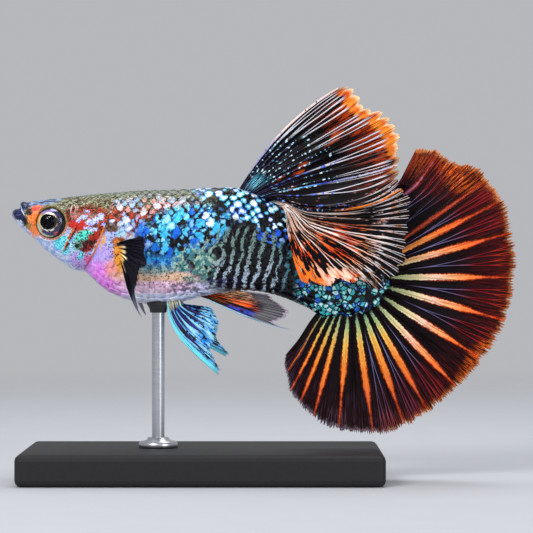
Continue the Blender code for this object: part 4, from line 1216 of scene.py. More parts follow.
def tail_sheet(across, out):
    low, high = TAIL_FIN_EDGE[0][0], TAIL_FIN_EDGE[-1][0]
    edge_angle = between(low, high, across)[:, None]
    fanned = (TAIL_FIN_ROOT[0] - low) * ease(0.12, 0.0, across)
    fanned = fanned + (TAIL_FIN_ROOT[1] - high) * ease(0.84, 1.0, across)
    root_angle = edge_angle + fanned[:, None]
    angle = np.radians(root_angle + (edge_angle - root_angle) * ease(0.0, 0.7, out))
    start = fan_root_radius(root_angle) - TAIL_FIN_SINK
    reach = start + (curve_through(TAIL_FIN_EDGE, 1, edge_angle) - start) * out
    ripple = TAIL_FIN_RIPPLE * out**2 * ripples(across, 3.2, 0.15) + 0.05 * out * ripples(across, 28.0)
    x, z = FAN_CENTRE[0] + reach * np.cos(angle), FAN_CENTRE[1] + reach * np.sin(angle)
    return np.stack([x, ripple, z], axis=2)


def tail_finish():
    finish = FinFinish("tail_fin")
    mix, on, rise = finish.brushes()
    patch, lines = finish.patch, finish.lines
    dx, dz = finish.behind - FAN_CENTRE[0], finish.over - FAN_CENTRE[1]
    radius = (dx * dx + dz * dz).math("SQRT")
    angle = dz.math("ARCTAN2", dx) * (180.0 / math.pi)
    upper = rise(angle, -35.0, 5.0)
    outer = rise(finish.out, 0.5, 0.95)
    threads = finish.drawn_out(330.0, 5.0, 2.0)
    colour = mix(finish.grain, (0.01, 0.01, 0.02), (0.07, 0.01, 0.03))
    colour = on(colour, (0.30, 0.04, 0.05), outer * upper * finish.grain)
    colour = on(colour, (0.18, 0.04, 0.05), outer * (1.0 - upper) * finish.grain, 0.8)
    thread_tone = mix(rise(angle, -85.0, -45.0), (0.25, 0.18, 0.26), (0.46, 0.08, 0.07))
    colour = on(colour, thread_tone, rise(threads, 0.52, 0.62) * outer, 0.6)
    fan_spot = (angle, radius)
    glow = patch(fan_spot, 44.0, 14.3, 7.0, 1.4, 0.0, 0.5) | patch(fan_spot, -35.0, 14.6, 9.0, 1.0, 0.0, 0.5)
    glow = glow | patch(fan_spot, 60.0, 12.8, 4.0, 1.5, 0.0, 0.5) * 0.3
    hairs = lines(0.02, 0.025)
    ember = mix(hairs | rise(threads, 0.5, 0.6), (0.24, 0.05, 0.02), (0.96, 0.42, 0.08))
    colour = on(colour, ember, glow * rise(finish.grain + finish.fine, 0.7, 1.0))
    # thin rays between the streaks
    faint = lines(0.025, 0.025)
    faint_far = mix(rise(angle, -85.0, -45.0), (0.40, 0.28, 0.40), (0.66, 0.12, 0.16))
    faint_colour = mix(rise(finish.out, 0.45, 0.7), (0.56, 0.52, 0.74), faint_far)
    weak = rise(finish.strength, 0.4, 0.08) * rise(finish.chance, 0.15, 0.35)
    colour = on(colour, faint_colour, faint * weak * rise(finish.out, 0.15, 0.3), 0.75)
    # streaks
    taper = radius + rise(angle, -55.0, -90.0) * 1.0 + (finish.chance - 0.5) * 1.8
    width = rise(radius, 3.0, 6.5) * 0.18 - rise(taper, 10.4, 13.4) * 0.24 + 0.09
    wobble = (finish.grain - 0.5) * 0.26 + (finish.fine - 0.5) * 0.22
    from_ray = finish.aside * finish.half_sector + wobble
    streak = rise(from_ray - width * finish.strength, 0.03, -0.03) * rise(finish.strength, 0.2, 0.3)
    streak = streak * rise(radius, 3.5, 4.2)
    low_tones = finish.ramp(radius / 17.0, (0.22, (0.45, 0.68, 0.55)), (0.29, (0.72, 0.80, 0.52)),
                            (0.38, (0.98, 0.76, 0.28)), (0.52, (1.0, 0.56, 0.10)),
                            (0.66, (0.90, 0.36, 0.02)), (0.85, (0.45, 0.12, 0.02)))
    mid_tones = finish.ramp(radius / 17.0, (0.24, (0.70, 0.78, 0.55)), (0.38, (0.93, 0.88, 0.66)),
                            (0.47, (1.0, 0.85, 0.76)), (0.56, (1.0, 0.72, 0.48)),
                            (0.66, (1.0, 0.46, 0.08)), (0.82, (0.88, 0.20, 0.02)))
    top_tones = finish.ramp(radius / 17.0, (0.45, (0.99, 0.58, 0.24)), (0.60, (1.0, 0.42, 0.05)),
                            (0.82, (0.78, 0.14, 0.01)))
    streak_colour = low_tones
    for above, tones in (((-62.0, -42.0), mid_tones), ((10.0, 22.0), top_tones),
                         ((31.0, 35.0), (0.62, 0.13, 0.05)), ((45.0, 50.0), (0.44, 0.36, 0.60))):
        streak_colour = on(streak_colour, tones, rise(angle, *above))
    streak_colour = mix(rise(finish.fine, 0.3, 0.7) * 0.12, streak_colour, (1.0, 0.93, 0.80))
    veins = rise(threads + (finish.grain - 0.5) * 0.4, 0.50, 0.60) * rise(radius, 5.0, 8.0)
    streak_colour = mix(veins * 0.45, streak_colour, (0.93, 0.36, 0.06))
    shade = rise(from_ray - width * finish.strength, 0.13, 0.05)
    shade = shade * rise(finish.strength, 0.2, 0.3) * rise(radius, 6.5, 8.5)
    colour = on(colour, (0.60, 0.17, 0.01), shade)
    colour = on(colour, streak_colour, streak)
    # fringe
    rim = rise(finish.out + (finish.grain - 0.5) * 0.10, 0.95, 1.01)
    rim_colour = mix(rise(angle, -95.0, -55.0), (0.62, 0.57, 0.64), (0.98, 0.60, 0.32))
    hair_place = rise(finish.out + (finish.chance - 0.5) * 0.2, 0.85, 1.0)
    hair_colour = mix(rise(angle, -100.0, -60.0), (0.40, 0.34, 0.42), (0.86, 0.30, 0.07))
    colour = on(colour, hair_colour, hairs * hair_place, 0.7)
    colour = on(colour, rim_colour, rim * (0.35 + 0.65 * lines(0.045, 0.04)))
    return finish.dressed(colour, 0.06, 0.5)


low, high = TAIL_FIN_EDGE[0][0], TAIL_FIN_EDGE[-1][0]
tail_rays = [((angle - low) / (high - low), strength) for angle, strength in TAIL_FIN_RAYS]
tail_fin = fin_piece("tail_fin", tail_sheet, tail_rays, 760, 56, fringe=0.055, seed=11)
tail_fin.data.materials.append(tail_finish())
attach(tail_fin, "root")
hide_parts("caudal_fin")


# ---- Back fin ------------------------------------------------------------------------------------
# A long, soft fin: its front stands up and back, its rear half turns over and hangs down the left flank.
# Black, with white rays, an orange scalloped rim where it stands and a white and orange hem where it hangs.
BACK_FIN = [  # share of the fin, angle at the root, angle at the tip, and the tip behind and over the lip
    (0.00, 58.0, 28.0, 31.3, 12.15), (0.07, 54.0, 36.0, 32.6, 12.2), (0.16, 50.0, 36.0, 33.8, 10.65),
    (0.26, 42.0, 34.0, 35.6, 9.5), (0.36, 28.0, 28.0, 37.25, 7.7), (0.43, 18.0, 22.0, 37.2, 5.5),
    (0.50, 8.0, 22.0, 36.8, 4.3), (0.57, -14.0, 46.0, 36.8, 3.1), (0.63, -22.0, 26.0, 37.7, 1.9),
    (0.69, -27.0, 4.0, 38.0, -0.4), (0.76, -34.0, -14.0, 37.8, -3.0), (0.83, -42.0, -38.0, 36.7, -5.8),
    (0.89, -50.0, -52.0, 34.9, -7.5), (0.93, -58.0, -56.0, 32.2, -7.5), (0.97, -66.0, -58.0, 29.4, -7.5),
    (1.00, -74.0, -64.0, 27.5, -6.5)]
BACK_FIN_ROOT = (21.5, 25.7)
BACK_FIN_SINK = 0.12
BACK_FIN_RISE = 1.2             # how far a ray that droops stands up before it turns over
BACK_FIN_OFF_FLANK = 0.85
BACK_FIN_SPREAD = 3.0           # how far the drooping half hangs out to the left
RAY_CURL = 0.36                 # how far a ray runs straight at either end, as a share of its reach
BACK_FIN_SCALLOPS = [(0.0, 0.06), (0.83, 0.06), (0.88, 0.2), (0.97, 0.2), (1.0, 0.08)]


def ray_paths(table, across, out, root_x, root_z):
    """Points in the side view of rays that leave their roots and reach their tips at the table's angles."""
    leave, arrive, tip_x, tip_z = (curve_through(table, k, across)[:, None] for k in (1, 2, 3, 4))
    root = np.stack([root_x, root_z], axis=-1)[:, None]
    tip = np.stack([tip_x, tip_z], axis=-1)
    reach = np.linalg.norm(tip - root, axis=2, keepdims=True) * RAY_CURL
    first = root + np.stack([np.cos(np.radians(leave)), np.sin(np.radians(leave))], axis=-1) * reach
    second = tip - np.stack([np.cos(np.radians(arrive)), np.sin(np.radians(arrive))], axis=-1) * reach
    out = out[..., None]
    rest = 1.0 - out
    return root * rest**3 + first * 3 * out * rest**2 + second * 3 * out**2 * rest + tip * out**3


def even_rays(count, seed, shake=0.25):
    """Rays at even places across a fin, shaken a little, with strengths drawn between 0.35 and 1."""
    draw = np.random.default_rng(seed)
    places = np.linspace(0.0, 1.0, count)
    places[1:-1] += draw.uniform(-shake, shake, count - 2) / (count - 1)
    return list(zip(places, draw.uniform(0.35, 1.0, count)))


def back_sheet(across, out):
    root_x = between(*BACK_FIN_ROOT, across)
    side = ray_paths(BACK_FIN, across, out, root_x, curve_through(BACK, 1, root_x) - BACK_FIN_SINK)
    x, z = side[..., 0], side[..., 1]
    early = np.minimum(out / 0.3, 1.0)
    z = z + BACK_FIN_RISE * ease(0.42, 0.75, across)[:, None] * np.sin(math.pi * early) * (1.0 - early)
    spread = np.maximum(half_width(x, z) + BACK_FIN_OFF_FLANK, BACK_FIN_SPREAD * ease(0.0, 0.5, out))
    lean = ease(0.36, 0.6, across)[:, None] * ease(0.0, 0.12, out)
    ripple = 0.3 * out * ripples(across, 3.0) + 0.07 * ease(0.1, 0.5, out) * ripples(across, 21.0)
    return np.stack([x, -spread * lean + ripple, z], axis=2)


def back_finish():
    finish = FinFinish("back_fin", PLAIN_FORKS)
    mix, on, rise = finish.brushes()
    patch, lines = finish.patch, finish.lines
    across, out = finish.across, finish.out
    streaks = finish.drawn_out(75.0, 4.0)
    threads = finish.drawn_out(170.0, 7.0, 2.0)
    specks = finish.noise(finish.at, 3.2, 2.0)
    loose = finish.moved((finish.behind, finish.over), finish.noise(finish.at, 1.4, 3.0, output="Color"), 0.9)
    frayed = out + (streaks - 0.5) * 0.22
    lobe = rise(across, 0.57, 0.51)
    drape = 1.0 - lobe
    colour = mix(finish.grain, (0.01, 0.005, 0.02), (0.05, 0.015, 0.02))

    # the part that stands
    ember = mix(finish.fine, (0.42, 0.07, 0.02), (0.90, 0.32, 0.05))
    rear = rise(across + (streaks - 0.5) * 0.1, 0.37, 0.45)
    ember_place = rise(frayed, 0.60, 0.90) * rise(across, 0.03, 0.12) * lobe * (1.0 - rear * 0.6)
    colour = on(colour, ember, ember_place * rise(streaks + (threads - 0.5) * 0.7, 0.48, 0.56))
    for where in ((27.4, 4.3, 0.9, 0.3, 40.0), (26.6, 2.4, 0.4, 0.2, 20.0), (30.6, 7.3, 1.1, 0.3, 42.0),
                  (25.4, 3.3, 0.5, 0.15, 30.0)):
        colour = on(colour, (0.80, 0.30, 0.06), patch(loose, *where, 0.5) * rise(threads, 0.50, 0.54))
    thin = lines(0.042, 0.025)
    white = mix(streaks, (0.80, 0.78, 0.88), (1.0, 0.97, 0.95))
    white_place = rise(out + (finish.chance - 0.5) * 0.3, 0.42, 0.56) * rise(frayed, 0.96, 0.88)
    colour = on(colour, white, thin * white_place * lobe * rise(finish.strength, 0.46, 0.60))
    colour = on(colour, (0.36, 0.34, 0.52), thin * lobe * rise(out, 0.5, 0.4) * specks, 0.9)
    dot_tone = mix(rise(specks, 0.58, 0.66), (0.36, 0.82, 0.92), (0.95, 0.98, 1.0))
    dot_tone = mix(rise(finish.chance, 0.82, 0.86), dot_tone, (0.35, 0.48, 0.90))
    dots = lines(0.075, 0.03) * rise(specks, 0.56, 0.60) * rise(out, 0.08, 0.14)
    colour = on(colour, dot_tone, dots * rise(out, 0.62, 0.50) * rise(across, 0.66, 0.60))
    cyan_place = rise(abs(frayed - 0.08), 0.075, 0.02) * rise(across, 0.06, 0.12)
    cyan_place = cyan_place * rise(across + (threads - 0.5) * 0.2, 0.34, 0.22)
    cyan_tone = mix(rise(threads, 0.54, 0.62), (0.20, 0.82, 0.97), (0.80, 0.98, 1.0))
    colour = on(colour, cyan_tone, cyan_place * rise(threads, 0.49, 0.54))
    blue_ray = rise(abs(across - 0.47), 0.010, 0.005)
    blue_tone = finish.ramp(out, (0.10, (0.45, 0.85, 0.95)), (0.32, (0.45, 0.75, 0.98)),
                            (0.45, (0.15, 0.22, 0.72)), (0.72, (0.75, 0.76, 0.86)))
    colour = on(colour, blue_tone, blue_ray * rise(streaks + specks, 0.85, 1.0))
    rim = rise(frayed - rear * 0.06, 0.88, 0.93) * rise(across, 0.0, 0.05) * lobe * (1.0 - rear * 0.65)
    rim_tone = mix(rise(streaks, 0.35, 0.65), (0.86, 0.26, 0.03), (1.0, 0.60, 0.20))
    rim_tone = mix(rise(out, 0.955, 1.0), rim_tone, (1.0, 0.84, 0.66))
    colour = on(colour, rim_tone, rim)
    leading = rise(across, 0.015, 0.007) * rise(out, 0.08, 0.16) * rise(specks, 0.36, 0.46)
    leading_tone = mix(rise(out, 0.3, 0.55), (0.62, 0.62, 0.82), (0.96, 0.86, 0.84))
    colour = on(colour, leading_tone, leading * rise(finish.aside, 0.75, 0.55))

    # the part that hangs
    front = rise(across + (finish.grain - 0.5) * 0.12, 0.68, 0.76)
    tone_place = out + (streaks - 0.5) * 0.3
    hang_tone = finish.ramp(tone_place, (0.05, (0.80, 0.93, 0.97)), (0.17, (0.99, 0.93, 0.90)),
                            (0.30, (0.98, 0.70, 0.56)), (0.42, (0.97, 0.42, 0.16)),
                            (0.58, (0.90, 0.24, 0.06)), (0.70, (0.98, 0.62, 0.40)),
                            (0.82, (0.90, 0.86, 0.84)))
    bold = threads + lines(0.06, 0.05) * 0.14 - rise(out, 0.0, 0.25) * 0.06
    bold = rise(bold - rise(out, 0.25, 0.5) * 0.02, 0.495, 0.53)
    colour = on(colour, hang_tone, bold * front * drape * rise(out, 0.90, 0.78))
    ray_tone = mix(rise(streaks, 0.48, 0.6), (0.98, 0.93, 0.91), (0.98, 0.62, 0.46))
    ray_end = out + (finish.chance - 0.5) * 0.6 + (streaks - 0.5) * 0.6
    ray_place = drape * rise(across, 0.60, 0.70) * rise(out, 0.02, 0.06) * rise(ray_end, 0.66, 0.50)
    colour = on(colour, ray_tone, lines(0.045, 0.03) * ray_place)
    sparse = rise(threads, 0.60, 0.66) * rise(specks, 0.44, 0.54) * drape * (1.0 - front)
    sparse_tone = mix(rise(finish.grain, 0.45, 0.55), (0.88, 0.36, 0.10), (0.93, 0.93, 0.97))
    colour = on(colour, sparse_tone, sparse * rise(out, 0.1, 0.2))
    comb = lines(0.03, 0.03) * rise(out + (finish.chance - 0.5) * 0.16, 0.70, 0.84)
    comb_tone = mix(rise(finish.grain, 0.45, 0.65), (0.90, 0.89, 0.93), (0.84, 0.55, 0.34))
    colour = on(colour, comb_tone, comb * drape)
    hem_shape = out + (streaks - 0.5) * 0.9 + (threads - 0.5) * 0.5
    hem = rise(hem_shape, 0.72, 0.76) * rise(across + (threads - 0.5) * 0.06, 0.885, 0.92)
    hem = hem * rise(threads + (1.0 - out) * 2.2, 0.44, 0.50) * rise(streaks + (1.0 - out), 0.42, 0.47)
    hem_tone = mix(rise(streaks + (threads - 0.5) * 0.5, 0.42, 0.60), (0.98, 0.38, 0.04), (1.0, 0.86, 0.76))
    corner_tone = mix(threads, (0.96, 0.26, 0.02), (1.0, 0.60, 0.20))
    hem_tone = mix(rise(across, 0.945, 0.965), hem_tone, corner_tone)
    colour = on(colour, hem_tone, hem)
    # a painted highlight: a streaky orange line along the fold where the fin turns over to hang
    fold_highlight = rise(abs(across - 0.600), 0.010, 0.003) * rise(out, 0.45, 0.6) * rise(threads, 0.44, 0.52)
    colour = on(colour, (0.98, 0.52, 0.14), fold_highlight)
    return finish.dressed(colour, 0.06, 0.5)


back_fin = fin_piece("back_fin", back_sheet, even_rays(26, 3, 0.2), 520, 92, half_thick=0.045,
                     fringe=0.012, seed=5, forks=PLAIN_FORKS, scallop=BACK_FIN_SCALLOPS)
back_fin.data.materials.append(back_finish())
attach(back_fin, "root")
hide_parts("dorsal_fin")


# ---- Belly fins ----------------------------------------------------------------------------------
# The fin behind the vent is dark with red and orange rays and a pale blue lower edge. The pair ahead of
# it are narrow and bright blue, with black between their rays.
VENT_FIN = [
    (0.00, -24.0, -8.0, 27.0, -11.1), (0.14, -22.0, -20.0, 25.1, -10.55), (0.30, -18.0, -14.0, 26.2, -10.0),
    (0.48, -14.0, -10.0, 26.4, -9.2), (0.66, -9.0, -6.0, 25.8, -8.6), (0.84, -2.0, -7.0, 25.0, -8.15),
    (1.00, 6.0, -5.0, 24.5, -7.65)]
VENT_FIN_ROOT = (17.6, 19.5)


def vent_sheet(across, out):
    root_x = between(*VENT_FIN_ROOT, across)
    side = ray_paths(VENT_FIN, across, out, root_x, curve_through(BELLY, 1, root_x) + 0.2)
    x, z = side[..., 0], side[..., 1]
    ceiling = curve_through(BELLY, 1, x) + 0.2 - 0.4 * ease(0.0, 0.12, out)
    return np.stack([x, 0.15 * out * np.sin(7.0 * across)[:, None], np.minimum(z, ceiling)], axis=2)


def vent_finish():
    finish = FinFinish("vent_fin", PLAIN_FORKS, coat=0.06, specular=0.15)
    mix, on, rise = finish.brushes()
    lines = finish.lines
    across, out = finish.across, finish.out
    streaks = finish.drawn_out(30.0, 4.0)
    strokes = finish.drawn_out(26.0, 3.4)
    colour = mix(finish.grain, (0.01, 0.01, 0.02), (0.05, 0.02, 0.04))
    stroke_tone = rise(across + (streaks - 0.5) * 0.8, 0.45, 0.75)
    stroke_tone = mix(stroke_tone, (0.97, 0.34, 0.07), (1.0, 0.84, 0.66))
    stroke = rise(strokes, 0.52, 0.56) * rise(across, 0.22, 0.34)
    stroke = stroke * rise(out + (streaks - 0.5) * 0.4, 0.72, 0.58) * rise(out, 0.02, 0.10)
    colour = on(colour, stroke_tone, stroke)
    ray_tone = mix(rise(streaks, 0.4, 0.6), (0.85, 0.16, 0.06), (0.93, 0.66, 0.42))
    near = rise(out + (streaks - 0.5) * 0.3, 0.66, 0.5) * rise(across, 0.10, 0.22)
    colour = on(colour, ray_tone, lines(0.03, 0.02) * near * rise(strokes, 0.44, 0.50), 0.7)
    blue = rise(abs(across - 0.16), 0.10, 0.05) * rise(out, 0.3, 0.42) * rise(out, 0.78, 0.66)
    colour = on(colour, (0.28, 0.36, 0.92), blue * rise(finish.grain + streaks, 0.9, 1.05))
    pale = rise(across, 0.065, 0.03) * rise(out, 0.03, 0.1)
    colour = on(colour, (0.70, 0.86, 0.97), pale)
    faint = lines(0.025, 0.02) * rise(out, 0.5, 0.6)
    colour = on(colour, (0.34, 0.30, 0.40), faint, 0.8)
    outline = rise(out, 0.955, 0.975) | rise(across, 0.96, 0.98) * rise(out, 0.3, 0.5)
    colour = on(colour, (0.72, 0.66, 0.74), outline)
    clear = rise(out, 0.58, 0.74) * (1.0 - lines(0.03, 0.03)) * (1.0 - outline)
    finish.set("Alpha", 1.0 - clear * 0.6)
    return finish.dressed(colour, 0.05)


vent_fin = fin_piece("vent_fin", vent_sheet, even_rays(10, 9), 200, 60, half_thick=0.04, ridge=0.06,
                     fringe=0.02, seed=6, forks=PLAIN_FORKS, scallop=0.06)
vent_fin.data.materials.append(vent_finish())
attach(vent_fin, "root")
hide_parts("anal_fin")

PELVIC_FIN = [
    (0.00, -84.0, -42.0, 19.80, -15.4), (0.12, -80.0, -42.0, 20.05, -15.05),
    (0.26, -75.0, -43.0, 19.45, -13.9), (0.45, -68.0, -46.0, 19.05, -12.9),
    (0.64, -60.0, -44.0, 19.5, -12.0), (0.82, -48.0, -40.0, 19.5, -10.9), (1.00, -32.0, -34.0, 19.1, -9.7)]
PELVIC_FIN_ROOT = (14.7, 16.0)
PELVIC_FIN_ASIDE = 0.62
PELVIC_FIN_SPLAY = 0.16
FAR_FIN_SWEEP = 12.0
FAR_FIN_LENGTH = 0.93


def pelvic_sheet(side_sign, sweep, length):
    def sheet(across, out):
        root_x = between(*PELVIC_FIN_ROOT, across)
        root_z = curve_through(BELLY, 1, root_x) - 0.12
        side = ray_paths(PELVIC_FIN, across, out, root_x, root_z)
        side = side - np.stack([root_x, root_z], axis=-1)[:, None]
        turn = math.radians(sweep)
        x = (side[..., 0] * math.cos(turn) - side[..., 1] * math.sin(turn)) * length
        z = (side[..., 0] * math.sin(turn) + side[..., 1] * math.cos(turn)) * length
        aside = PELVIC_FIN_ASIDE - z * PELVIC_FIN_SPLAY + 0.06 * out * ripples(across, 5)
        sunk = 0.5 * ease(0.1, 0.0, out)
        return np.stack([root_x[:, None] + x, side_sign * aside, root_z[:, None] + z + sunk], axis=2)
    return sheet


def pelvic_finish():
    finish = FinFinish("pelvic_fin", roughness=0.4, coat=0.15, specular=0.25)
    mix, on, rise = finish.brushes()
    across, out = finish.across, finish.out
    streaks = finish.drawn_out(22.0, 3.0)
    colour = mix(rise(streaks, 0.48, 0.64), (0.02, 0.02, 0.06), (0.20, 0.16, 0.62))
    bright = mix(rise(streaks, 0.4, 0.6), (0.10, 0.58, 0.98), (0.66, 0.93, 1.0))
    broad = rise(out, 0.2, 0.6) * 0.07 + 0.04
    bright_lines = rise(finish.from_branch - broad, 0.04, -0.02)
    colour = on(colour, bright, bright_lines * rise(finish.grain + streaks, 0.86, 0.95))
    sheen = rise(across, 0.16, 0.06) * rise(streaks, 0.3, 0.45)
    colour = on(colour, (0.45, 0.90, 0.97), sheen)
    colour = on(colour, (0.90, 0.86, 0.66), rise(out, 0.11, 0.03) * rise(streaks, 0.45, 0.52))
    return finish.dressed(colour, 0.05)


pelvic = pelvic_finish()
for side, name, sweep, length in ((-1, "left", 0.0, 1.0), (1, "right", FAR_FIN_SWEEP, FAR_FIN_LENGTH)):
    piece = fin_piece(f"pelvic_{name}", pelvic_sheet(side, sweep, length), even_rays(7, 21 + side), 150, 56,
                      half_thick=0.04, ridge=0.07, fringe=0.07, seed=30 + side)
    piece.data.materials.append(pelvic)
    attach(piece, "root")
    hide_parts(f"pelvic_fin_{name}")


# ---- Breast fins ---------------------------------------------------------------------------------
# A black fan behind each gill cover, with cream roots to its rays. Its lowest rays run out into a long,
# clear grey filament.
BREAST_FIN = [
    (0.00, 22.0, 10.0, 12.85, -2.15), (0.12, 14.0, 2.0, 13.0, -2.9), (0.25, 4.0, -10.0, 12.95, -3.7),
    (0.38, -12.0, -24.0, 13.15, -4.85), (0.52, -30.0, -42.0, 12.45, -5.3), (0.65, -44.0, -58.0, 12.25, -6.3),
    (0.78, -56.0, -72.0, 12.0, -7.7), (0.90, -68.0, -58.0, 12.45, -9.3), (1.00, -80.0, -48.0, 12.75, -10.0)]
BREAST_FIN_ROOT = ((10.1, 10.55), (-2.85, -4.3))  # behind and over the lip, from the first ray to the last
BREAST_FIN_SPREAD = 1.5


def breast_sheet(side_sign):
    def sheet(across, out):
        root_x, root_z = (between(*ends, across) for ends in BREAST_FIN_ROOT)
        side = ray_paths(BREAST_FIN, across, out, root_x, root_z)
        x, z = side[..., 0], side[..., 1]
        off = -0.15 + 0.7 * ease(0.0, 0.14, out)
        base = half_width(root_x, root_z)[:, None] + off
        flank_off = half_width(x, z) + off + 0.2 * ease(0.0, 0.3, out)
        aside = np.maximum(flank_off, base + BREAST_FIN_SPREAD * out)
        return np.stack([x, side_sign * (aside + 0.06 * out * ripples(across, 8)), z], axis=2)
    return sheet


def breast_finish():
    finish = FinFinish("breast_fin")
    mix, on, rise = finish.brushes()
    lines = finish.lines
    across, out = finish.across, finish.out
    streaks = finish.drawn_out(26.0, 3.0)
    colour = mix(streaks, (0.005, 0.005, 0.015), (0.05, 0.03, 0.09))
    colour = on(colour, (0.16, 0.13, 0.22), lines(0.02, 0.02), 0.6)
    cream = lines(0.10, 0.04) * rise(out + (finish.chance - 0.5) * 0.2, 0.32, 0.22)
    cream = cream * rise(across, 0.12, 0.22) * rise(across, 0.95, 0.85)
    cream_tone = mix(rise(out, 0.1, 0.25), (0.95, 0.70, 0.34), (1.0, 0.92, 0.72))
    colour = on(colour, cream_tone, cream)
    tail = rise(across, 0.80, 0.90) * rise(out, 0.62, 0.78)
    colour = on(colour, (0.34, 0.34, 0.42), tail)
    outline = rise(across, 0.965, 0.99) | rise(out, 0.965, 0.985)
    outline = outline * rise(out, 0.45, 0.6) * rise(across, 0.7, 0.8)
    colour = on(colour, (0.78, 0.78, 0.86), outline)
    finish.set("Alpha", 1.0 - tail * (1.0 - outline) * 0.35)
    return finish.dressed(colour, 0.05)


breast = breast_finish()
for side, name in ((-1, "left"), (1, "right")):
    piece = fin_piece(f"breast_{name}", breast_sheet(side), even_rays(10, 41 + side), 220, 56,
                      half_thick=0.035, ridge=0.07, fringe=0.07, seed=50 + side)
    piece.data.materials.append(breast)
    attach(piece, "root")
    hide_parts(f"pectoral_fin_{name}")


# ---- Stand ---------------------------------------------------------------------------------------
# A satin black plate and a thin steel rod, with a turned collar where it is screwed into the plate and a
# small, soft cup on its end that the belly rests in.

# Outlines to be turned: radius, and height over the plate or over the belly's lowest line
COLLAR = ((0.75, 0.0), (1.75, 0.0), (1.85, 0.1), (1.85, 0.45), (1.7, 0.62), (1.15, 0.72), (0.95, 1.0),
          (0.60, 1.0))
CUP = ((0.55, -0.85), (0.74, -0.85), (0.80, -0.78), (0.84, -0.45), (1.05, -0.12), (1.12, 0.12),
       (1.02, 0.14), (0.6, -0.2))
TURNING_STEPS = 64
plate_finish = Finish("satin_black", Coat_Weight=0.04, Coat_Roughness=0.4, Specular_IOR_Level=0.2)
plate_grain = plate_finish.noise(plate_finish.place(), 2.5, 6.0, 0.7)
plate_finish.tinted(plate_grain, (0.10, 0.10, 0.11), (0.17, 0.17, 0.18))
plate_finish.set("Roughness", plate_grain * 0.2 + 0.5)
steel_finish = Finish("brushed_steel", Metallic=1.0)
px, py, pz = steel_finish.split(steel_finish.place())
brushing = steel_finish.noise(steel_finish.vector(px * 0.4, py * 0.4, pz * 12.0), 3.0, 4.0)
steel_finish.tinted(brushing, (0.62, 0.63, 0.65), (0.85, 0.86, 0.88))
steel_finish.set("Roughness", brushing * 0.2 + 0.22)
for node, finish in (("stand_base", plate_finish), ("stand_rod", steel_finish)):
    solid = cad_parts[node]
    solid.data.materials.clear()
    solid.data.materials.append(finish.material)
rod_low, rod_high = (np.array(corner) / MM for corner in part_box("stand_rod"))
plate_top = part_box("stand_base")[1][2] / MM
rod_middle = (rod_low + rod_high) / 2


def turned(name, profile, level):
    """A closed ring turned on a lathe round the rod, from pairs of a radius and a height over the level."""
    points = [(rod_middle[0] + radius * cos, rod_middle[1] + radius * sin, level + height)
              for cos, sin in circle(TURNING_STEPS) for radius, height in profile]
    faces = [(a, d, c, b) for a, b, c, d in row_faces(TURNING_STEPS, len(profile), closed=True)]
    piece = turned_outwards(mesh_piece(name, np.array(points) * MM, faces))
    piece.data.shade_smooth()
    return piece


rubber_finish = Finish("soft_cup", Roughness=0.6, Specular_IOR_Level=0.3)
rubber_finish.tinted(rubber_finish.noise(rubber_finish.place(), 6.0, 3.0),
                     (0.16, 0.16, 0.17), (0.22, 0.22, 0.23))
belly_over_rod = LIP_TIP[1] + float(curve_through(BELLY, 1, rod_middle[0] - LIP_TIP[0]))
for piece, finish, slot in ((turned("stand_collar", COLLAR, plate_top), steel_finish, "stand_rod"),
                            (turned("stand_cup", CUP, belly_over_rod), rubber_finish, "stand_rod")):
    piece.data.materials.append(finish.material)
    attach(piece, "root")


# ---- Setting -------------------------------------------------------------------------------------
# A plain pale floor that fades into an even backdrop on every side, soft studio light, and the camera
# level with the fish's flank.
VIEW_CENTRE = (0.07, 20.21)
VIEW_WIDTH = 50.635
LENS = 180.0
SENSOR = 36.0
FLOOR_RADIUS = 320.0
FLOOR_FADE = (300.0, 45.0)      # where it is gone, and where it starts to fade
PAPER = (0.71, 0.72, 0.74)

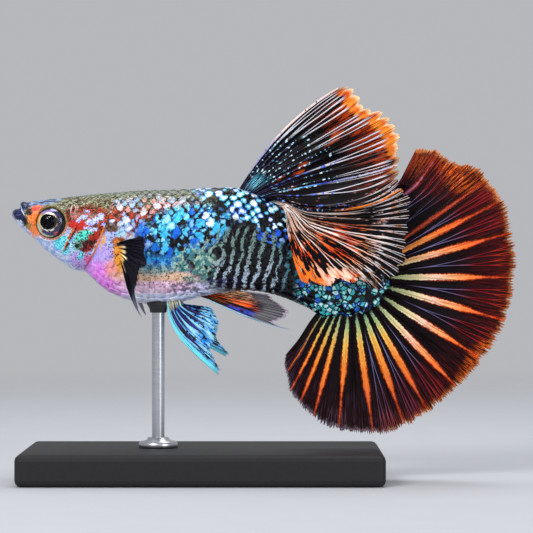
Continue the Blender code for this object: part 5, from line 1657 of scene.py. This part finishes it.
floor_edge = [(cos * FLOOR_RADIUS * MM, sin * FLOOR_RADIUS * MM, 0.0) for cos, sin in circle(96)]
floor = mesh_piece("floor", floor_edge, [tuple(range(len(floor_edge)))])
paper = Finish("pale_paper", Roughness=0.9, Specular_IOR_Level=0.1)
px, py, _ = paper.split(paper.node("ShaderNodeTexCoord", output="Object"))
from_middle = (px * px + py * py).math("SQRT") / MM
paper.tinted(paper.noise(paper.place(), 0.2, 4.0), PAPER, tuple(c + 0.02 for c in PAPER))
paper.set("Alpha", paper.rise(from_middle, *FLOOR_FADE))
floor.data.materials.append(paper.material)


def soft_light(name, place, aim, size, power, colour=(1.0, 1.0, 1.0)):
    light = bpy.data.lights.new(name, "AREA")
    light.shape = "DISK"
    light.size = size * MM
    light.energy = power
    light.color = colour
    made = bpy.data.objects.new(name, light)
    made.location = Vector(place) * MM
    made.rotation_euler = (Vector(place) - Vector(aim)).to_track_quat("Z", "Y").to_euler()
    bpy.context.scene.collection.objects.link(made)


soft_light("key", (-140.0, -230.0, 190.0), (0, 0, 20), 120.0, 0.60, (1.0, 0.98, 0.95))
soft_light("fill", (190.0, -220.0, 90.0), (0, 0, 20), 160.0, 0.28, (0.95, 0.97, 1.0))
soft_light("top", (20.0, 60.0, 260.0), (0, 0, 20), 180.0, 0.42)
world = bpy.data.worlds.new("studio")
bpy.context.scene.world = world
world.use_nodes = True
world.node_tree.nodes["Background"].inputs["Color"].default_value = (0.93, 0.95, 1.0, 1.0)
world.node_tree.nodes["Background"].inputs["Strength"].default_value = 0.5

camera_data = bpy.data.cameras.new("camera")
camera_data.type = "PERSP"
camera_data.lens = LENS
camera_data.sensor_width = SENSOR
camera_data.clip_start = 0.01
camera = bpy.data.objects.new("camera", camera_data)
camera.location = (VIEW_CENTRE[0] * MM, -VIEW_WIDTH * LENS / SENSOR * MM, VIEW_CENTRE[1] * MM)
camera.rotation_euler = (math.pi / 2, 0.0, 0.0)
bpy.context.scene.collection.objects.link(camera)
bpy.context.scene.camera = camera
bpy.context.scene.view_settings.view_transform = "Standard"
